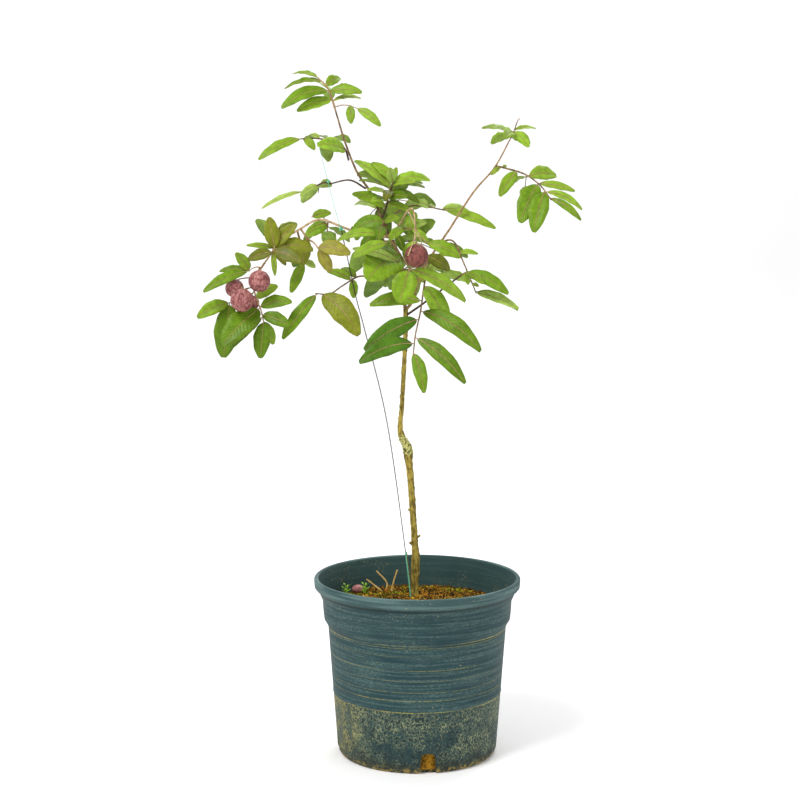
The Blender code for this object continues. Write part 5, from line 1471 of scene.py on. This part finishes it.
inside = [(RIM_RADIUS - 0.0076, POT_HEIGHT - 0.006), (RIM_RADIUS - 0.0105, POT_HEIGHT - 0.0125),
          (COLLAR_RADIUS - POT_WALL, COLLAR_TOP), (COLLAR_FOOT_RADIUS - POT_WALL, COLLAR_FOOT),
          (BODY_RADIUS - POT_WALL, BODY_TOP), (body_radius(0.1) - POT_WALL, 0.1),
          (FOOT_RADIUS - POT_WALL - 0.002, POT_FLOOR + 0.002), (FOOT_RADIUS - 0.009, POT_FLOOR)]
pot = turned("grow_pot", outside + inside, POT_SIDES)
pot.data.materials.append(plastic)
pot.data.materials.append(shade_plastic)
for face in pot.data.polygons:
    face.material_index = int(face.normal.xy.dot(face.center.xy) < 0 and face.center.z < POT_HEIGHT - 0.002)

# %% Drainage arches
def arch(height, width, spread, depth, corners=40):
    """A cutter with a flat round top that widens down to an open foot, its middle below the round."""
    turns = [math.pi * k / corners for k in range(corners + 1)]
    outline = [(0.5 * width * math.cos(turn), 0.5 * width * abs(math.sin(turn)) ** 0.6) for turn in turns]
    outline += [(-0.5 * width * spread, -height), (0.5 * width * spread, -height)]
    shape = bpy.data.meshes.new("arch")
    count = len(outline)
    shape.from_pydata([(x, side * depth, z) for side in (-1, 1) for x, z in outline], [],
                      [tuple(range(count)), tuple(range(2 * count - 1, count - 1, -1)),
                       *((k, count + k, count + (k + 1) % count, (k + 1) % count) for k in range(count))])
    made = bpy.data.objects.new("arch", shape)
    bpy.context.scene.collection.objects.link(made)
    return made


for k in range(DRAIN_COUNT):
    angle = math.radians(DRAIN_ANGLE + 360 * k / DRAIN_COUNT)
    cutter = arch(DRAIN_HEIGHT, DRAIN_WIDTH, DRAIN_SPREAD, DRAIN_DEPTH)
    cutter.rotation_euler = (0, 0, angle + math.pi / 2)
    cutter.location = (FOOT_RADIUS * math.cos(angle), FOOT_RADIUS * math.sin(angle),
                       DRAIN_HEIGHT - DRAIN_WIDTH / 2)
    cut = pot.modifiers.new("Drain", "BOOLEAN")
    cut.object = cutter
    cut.solver = "EXACT"
    bpy.context.view_layer.objects.active = pot
    bpy.ops.object.modifier_apply(modifier="Drain")
    bpy.data.objects.remove(cutter)
settle(pot, "plastic", "pot")

# %% [markdown]
# ## Soil
#
# Old potting soil is yellow brown to orange, lumpy, and greened over by moss. The same turning gives its
# heaped top and the sides that fill the drainage arches. A Displace modifier with a cloud texture makes it
# uneven, and crumbs, chips and tufts of moss are scattered over it as one heap of small rough stones.

# %% Earth
def earth_finish(name, light, dark, wet=0.95):
    finish = Finish(name, wet, 0.1)
    grain = finish.cloud(420, 5)
    patch = finish.cloud(70, 4)
    colour = finish.blend((grain * 0.5 + patch * 0.5).ease(0.40, 0.60), dark, light)
    return finish.done(colour, None, grain, 0.0012)


earths = [
    earth_finish("Orange earth", (0.340, 0.170, 0.014), (0.055, 0.030, 0.004)),
    earth_finish("Yellow chips", (0.640, 0.430, 0.050), (0.380, 0.220, 0.020)),
    earth_finish("Brown crumbs", (0.110, 0.056, 0.010), (0.030, 0.017, 0.004)),
    earth_finish("Moss", (0.240, 0.280, 0.008), (0.085, 0.120, 0.002)),
    earth_finish("Orange chips", (0.640, 0.230, 0.020), (0.330, 0.110, 0.010)),
    earth_finish("Pale grit", (0.560, 0.500, 0.380), (0.380, 0.310, 0.200)),
]

# %% The fill
SOIL_RING = 0.0024
SOIL_SIDES = 168
SOIL_LUMPS = 0.0024
SOIL_CLEAR = 0.0004
# Soil: heaped from the wall up to the trunk, as radius and height, and its height at the wall
SOIL_HEAP = ((0.0, 0.2275), (0.045, 0.2270), (0.085, 0.2212), (0.115, 0.2168))
SOIL_EDGE = 0.2145


def wall_radius(z):
    """The pot's inner radius at a height."""
    low, high = (COLLAR_FOOT_RADIUS, COLLAR_FOOT), (COLLAR_RADIUS, COLLAR_TOP)
    return low[0] + (high[0] - low[0]) * (z - low[1]) / (high[1] - low[1]) - POT_WALL


SOIL_LINE = SOIL_HEAP + ((wall_radius(SOIL_EDGE) - WALL_GAP, SOIL_EDGE),)


def soil_height(radius):
    """How high the heap is at a distance from the middle."""
    for (r1, z1), (r2, z2) in zip(SOIL_LINE, SOIL_LINE[1:]):
        if radius <= r2:
            return z1 + (z2 - z1) * (radius - r1) / (r2 - r1)
    return SOIL_EDGE


edge = SOIL_LINE[-1][0]
steps = int(edge / SOIL_RING)
top = [(edge * k / steps, soil_height(edge * k / steps)) for k in range(1, steps + 1)]
side = [(wall_radius(COLLAR_FOOT) - SOIL_CLEAR, COLLAR_FOOT)]
side += [(BODY_RADIUS - POT_WALL - SOIL_CLEAR, BODY_TOP)]
side += [(body_radius(z) - POT_WALL - SOIL_CLEAR, z) for z in (0.1, 0.04)]
side += [(FOOT_RADIUS - POT_WALL - 0.002 - SOIL_CLEAR, POT_FLOOR + 0.002)]
side += [(FOOT_RADIUS - 0.009 - SOIL_CLEAR, POT_FLOOR + SOIL_CLEAR)]
earth = turned("earth", top + side, SOIL_SIDES)
lumps = bpy.data.textures.new("Earth lumps", "CLOUDS")
lumps.noise_scale = 0.009
lumps.noise_depth = 4
upper = earth.vertex_groups.new(name="Top")
for vert in earth.data.vertices:
    reach = min((edge - vert.co.xy.length) / 0.006, 1) if vert.co.z > SOIL_EDGE - 0.001 else 0
    upper.add([vert.index], max(reach, 0.15 if vert.co.z > SOIL_EDGE - 0.001 else 0), "REPLACE")
rough = earth.modifiers.new("Lumps", "DISPLACE")
rough.texture = lumps
rough.texture_coords = "LOCAL"
rough.direction = "Z"
rough.vertex_group = "Top"
rough.strength = SOIL_LUMPS
bpy.context.view_layer.objects.active = earth
bpy.ops.object.modifier_apply(modifier="Lumps")
earth.data.materials.append(earths[0])
settle(earth, "soil", "soil")

# %% Crumbs, chips and moss
CRUMB_CORNERS = ((1, 0, 0), (-1, 0, 0), (0, 1, 0), (0, -1, 0), (0, 0, 1), (0, 0, -1))
CRUMB_FACES = ((0, 2, 4), (2, 1, 4), (1, 3, 4), (3, 0, 4), (2, 0, 5), (1, 2, 5), (3, 1, 5), (0, 3, 5))
CRUMBS = (
    (0, 1500, 0.0012, 0.0050),
    (1, 520, 0.0010, 0.0045),
    (2, 1500, 0.0012, 0.0055),
    (3, 1700, 0.0008, 0.0034),
    (4, 260, 0.0010, 0.0040),
    (5, 60, 0.0006, 0.0018),
)
MOSS_SPOTS = ((-0.072, -0.020), (-0.040, 0.030), (0.020, -0.085), (0.085, -0.010), (-0.100, 0.055),
              (0.052, 0.078), (-0.020, 0.098))

chance = random.Random(61)
crumbs = Heap()
for finish, count, small, large in CRUMBS:
    for _ in range(count):
        if finish == 3:
            spot = chance.choice(MOSS_SPOTS)
            x, y = spot[0] + chance.gauss(0, 0.016), spot[1] + chance.gauss(0, 0.012)
        else:
            radius, turn = (edge - 0.004) * math.sqrt(chance.random()), chance.uniform(0, math.tau)
            x, y = radius * math.cos(turn), radius * math.sin(turn)
        if math.hypot(x, y) > edge - 0.003 or math.hypot(x - TRUNK[0][0], y - TRUNK[0][1]) < 0.009:
            continue
        size = small + (large - small) * chance.random() ** 2.2
        centre = Vector((x, y, soil_height(math.hypot(x, y)) + 0.30 * size + 0.0003))
        turn = Quaternion((chance.gauss(0, 1), chance.gauss(0, 1), chance.gauss(0, 1), chance.gauss(0, 1)))
        turn.normalize()
        shape = [size * chance.uniform(*share) for share in ((0.5, 1), (0.35, 0.8), (0.3, 0.6))]
        corners = []
        for corner in CRUMB_CORNERS:
            spot = [chance.uniform(0.75, 1.2) * a * b for a, b in zip(corner, shape)]
            corners.append(centre + turn @ Vector(spot))
        crumbs.add(corners, CRUMB_FACES, finish)
crumbs = crumbs.piece("crumbs", earths)
settle(crumbs, "soil")

# %% [markdown]
# ## What lies on the soil
#
# Three dry stubs the colour of straw stand left of the trunk. A small dropped fruit, mauve and shrunken,
# lies by the wall between two sprigs of a weed, and a dead leaf has curled up. They are small, but they
# show against the dark inside of the pot.

# %% Stubs
# Dry stubs that stand in the soil, each as its foot on the soil and the points above it
STUB_RADIUS = 0.0015
STUBS = {
    "stub_left": ((-0.0510, 0.0650), (-0.0630, 0.0655, 0.2305), (-0.0750, 0.0660, 0.2400)),
    "stub_middle": ((-0.0460, 0.0670), (-0.0450, 0.0670, 0.2350), (-0.0603, 0.0680, 0.2523)),
    "stub_right": ((-0.0375, 0.0650), (-0.0350, 0.0650, 0.2345), (-0.0290, 0.0650, 0.2545)),
}

# A small shrivelled fruit that has dropped on the soil
FALLEN_FRUIT = (-0.0880, 0.0720)
FALLEN_RADIUS = 0.0093
FALLEN_FLAT = 0.68

wood = Heap()
for foot, *rest in STUBS.values():
    start = Vector((*foot, soil_height(math.hypot(*foot)) - 0.001))
    points = smooth([start, *rest], 5)
    radii = taper(len(points), STUB_RADIUS, 0.7 * STUB_RADIUS)
    wood.add(*tube(*fine(points, radii, 0.0007), 12, shoot_skin))
settle(wood.piece("dry_stubs", [barks["straw"]]), "bark", *STUBS)

# %% The dropped fruit
x, y = FALLEN_FRUIT
dropped = ball("dropped_fruit", (0, 0, 0), FALLEN_RADIUS,
               fruit_finish("Dropped", (0.400, 0.165, 0.160), (0.230, 0.085, 0.090), 0.4))
dropped.scale = (1, 1, FALLEN_FLAT)
dropped.location = (x, y, soil_height(math.hypot(x, y)) + FALLEN_FLAT * FALLEN_RADIUS + 0.0005)
bpy.ops.object.transform_apply(location=True, rotation=True, scale=True)
settle(dropped, "fruit", "fallen_fruit")

# %% Two sprigs of a weed
SPRIGS = ((-0.1050, 0.0560), (-0.0770, 0.0480))
SPRIG_LEAVES = 15
SPRIG_LEAF = 0.0062

weed = Heap()
chance = random.Random(8)
for x, y in SPRIGS:
    foot = Vector((x, y, soil_height(math.hypot(x, y))))
    for k in range(SPRIG_LEAVES):
        turn = 2.4 * k
        way = Vector((math.cos(turn), math.sin(turn), chance.uniform(0.4, 1.6))).normalized()
        side = way.cross(Vector((0, 0, 1))).normalized()
        start = foot + way * 0.003 + Vector((0, 0, 0.0010 * k))
        tip = start + way * SPRIG_LEAF * chance.uniform(0.7, 1.1)
        half = side * 0.0016
        middle = start.lerp(tip, 0.55)
        weed.add([start, middle + half, tip, middle - half], [(0, 1, 2, 3)])
        weed.add(*tube([foot, start], [0.0004, 0.0003], 5))
fresh = Finish("Weed", 0.6)
weed_green = fresh.done(fresh.blend(fresh.cloud(300), (0.15, 0.33, 0.01), (0.28, 0.47, 0.03)))
sprigs = weed.piece("weed_sprigs", [weed_green])
thick = sprigs.modifiers.new("Thickness", "SOLIDIFY")
thick.thickness = 0.0004
settle(sprigs, "foliage")

# %% The dead leaf
DEAD_LEAF_PLACE = (-0.062, -0.040)
DEAD_LEAF_LENGTH = 0.052
DEAD_LEAF_WIDTH = 0.020

dead = Finish("Dead leaf", 0.8)
withered = dead.blend(dead.cloud(130, 4).ease(0.4, 0.6), (0.075, 0.040, 0.022), (0.19, 0.110, 0.055))
dead_leaf = dead.done(withered, None, dead.cloud(380, 3), 0.0006)
blade = Heap()
corners = []
x, y = DEAD_LEAF_PLACE
ground = soil_height(math.hypot(x, y)) + 0.0012
for k in range(13):
    u = k / 12
    half = DEAD_LEAF_WIDTH / 2 * math.sin(math.pi * min(max(u, 0.03), 0.97)) ** 0.8
    for w in (-1, -0.5, 0, 0.5, 1):
        curl = 0.009 * abs(w) ** 2 * math.sin(math.pi * u) + 0.003 * math.sin(5 * u + w)
        corners.append(Vector((x + (u - 0.5) * DEAD_LEAF_LENGTH, y + 0.35 * (u - 0.5) * DEAD_LEAF_LENGTH
                               + w * half, ground + 0.003 + curl)))
faces = []
for k in range(12):
    for a in range(5 * k, 5 * k + 4):
        faces.append((a, a + 5, a + 6, a + 1))
blade.add(corners, faces)
fallen_leaf = blade.piece("dead_leaf", [dead_leaf])
thick = fallen_leaf.modifiers.new("Thickness", "SOLIDIFY")
thick.thickness = BLADE_THICK
settle(fallen_leaf, "foliage")

# %% [markdown]
# ## Twine
#
# Two thin plies twist round each other. The twine runs from a side shoot at the leader's top down past
# the left bough to the foot of the trunk, mint green where it is new and weathered to olive between. It
# is wound round the wood at its upper ties, and a second, brown strand lies beside it near the soil.

# %% Plies
TWIST = 0.0052
PLY_RADIUS = 0.00046
PLY_TURN = 0.00042
PLY_STEPS = 8
NEW_BELOW = 0.300
SECOND_ASIDE = 0.0017
NEW_ABOVE = 0.740


def twine_finish(name, light, dark):
    finish = Finish(name, 0.7)
    fibres = finish.cloud(900, 3, (1, 1, 0.4))
    return finish.done(finish.blend(fibres.ease(0.35, 0.65), dark, light), None, fibres, 0.0002)


twine_finishes = [twine_finish("Mint twine", (0.240, 0.740, 0.470), (0.090, 0.430, 0.250)),
                  twine_finish("Weathered twine", (0.085, 0.075, 0.036), (0.022, 0.020, 0.012)),
                  twine_finish("Brown twine", (0.300, 0.170, 0.035), (0.110, 0.055, 0.014))]


def plies(heap, line, finish=None, thick=1.0):
    """Two plies along a line, in one finish or new or weathered by height."""
    length = sum((b - a).length for a, b in zip(line, line[1:]))
    route, _ = fine(line, [1] * len(line), TWIST / PLY_STEPS)
    middle = route[len(route) // 2].z
    if finish is None:
        finish = int(NEW_BELOW < middle < NEW_ABOVE)
    for side in (0, math.pi):
        places = []
        for k, place in enumerate(route):
            run = (route[min(k + 1, len(route) - 1)] - route[max(k - 1, 0)]).normalized()
            across = run.orthogonal().normalized()
            turn = Quaternion(run, math.tau * k / PLY_STEPS + side)
            places.append(place + (turn @ across) * PLY_TURN * thick)
        heap.add(*tube(places, [PLY_RADIUS * thick] * len(places), 6), finish)
    return length


def coil(centre, axis, radius, turns, pitch):
    """A line wound round a stem."""
    axis = axis.normalized()
    across = axis.orthogonal().normalized()
    steps = 14 * turns
    return [centre + axis * pitch * (k / 14 - turns / 2)
            + Quaternion(axis, math.tau * k / 14) @ across * radius for k in range(steps + 1)]


string = Heap()
strand = smooth(TWINE, 4)
length = 0
for low, high, thick in ((0, 13, 0.5), (12, 37, 1.0), (36, 41, 1.3)):
    length += plies(string, strand[low:high], thick=thick)
length += plies(string, [place + Vector((SECOND_ASIDE, 0.0006, 0)) for place in strand[36:41]], 2)
KNOTS = (
    (TWINE[0], (0.4, 0.1, 1), 0.0016, 2),
    (TWINE[1], (0.2, 0.1, 1), 0.0013, 2),
    (TWINE[3], (1, -0.6, 0.25), 0.0020, 2),
)
for centre, axis, radius, turns in KNOTS:
    plies(string, coil(Vector(centre), Vector(axis), radius, turns, 0.0016))
settle(string.piece("plied_twine", twine_finishes), "twine", "twine")
print("the twine is", round(length, 3), "m long")
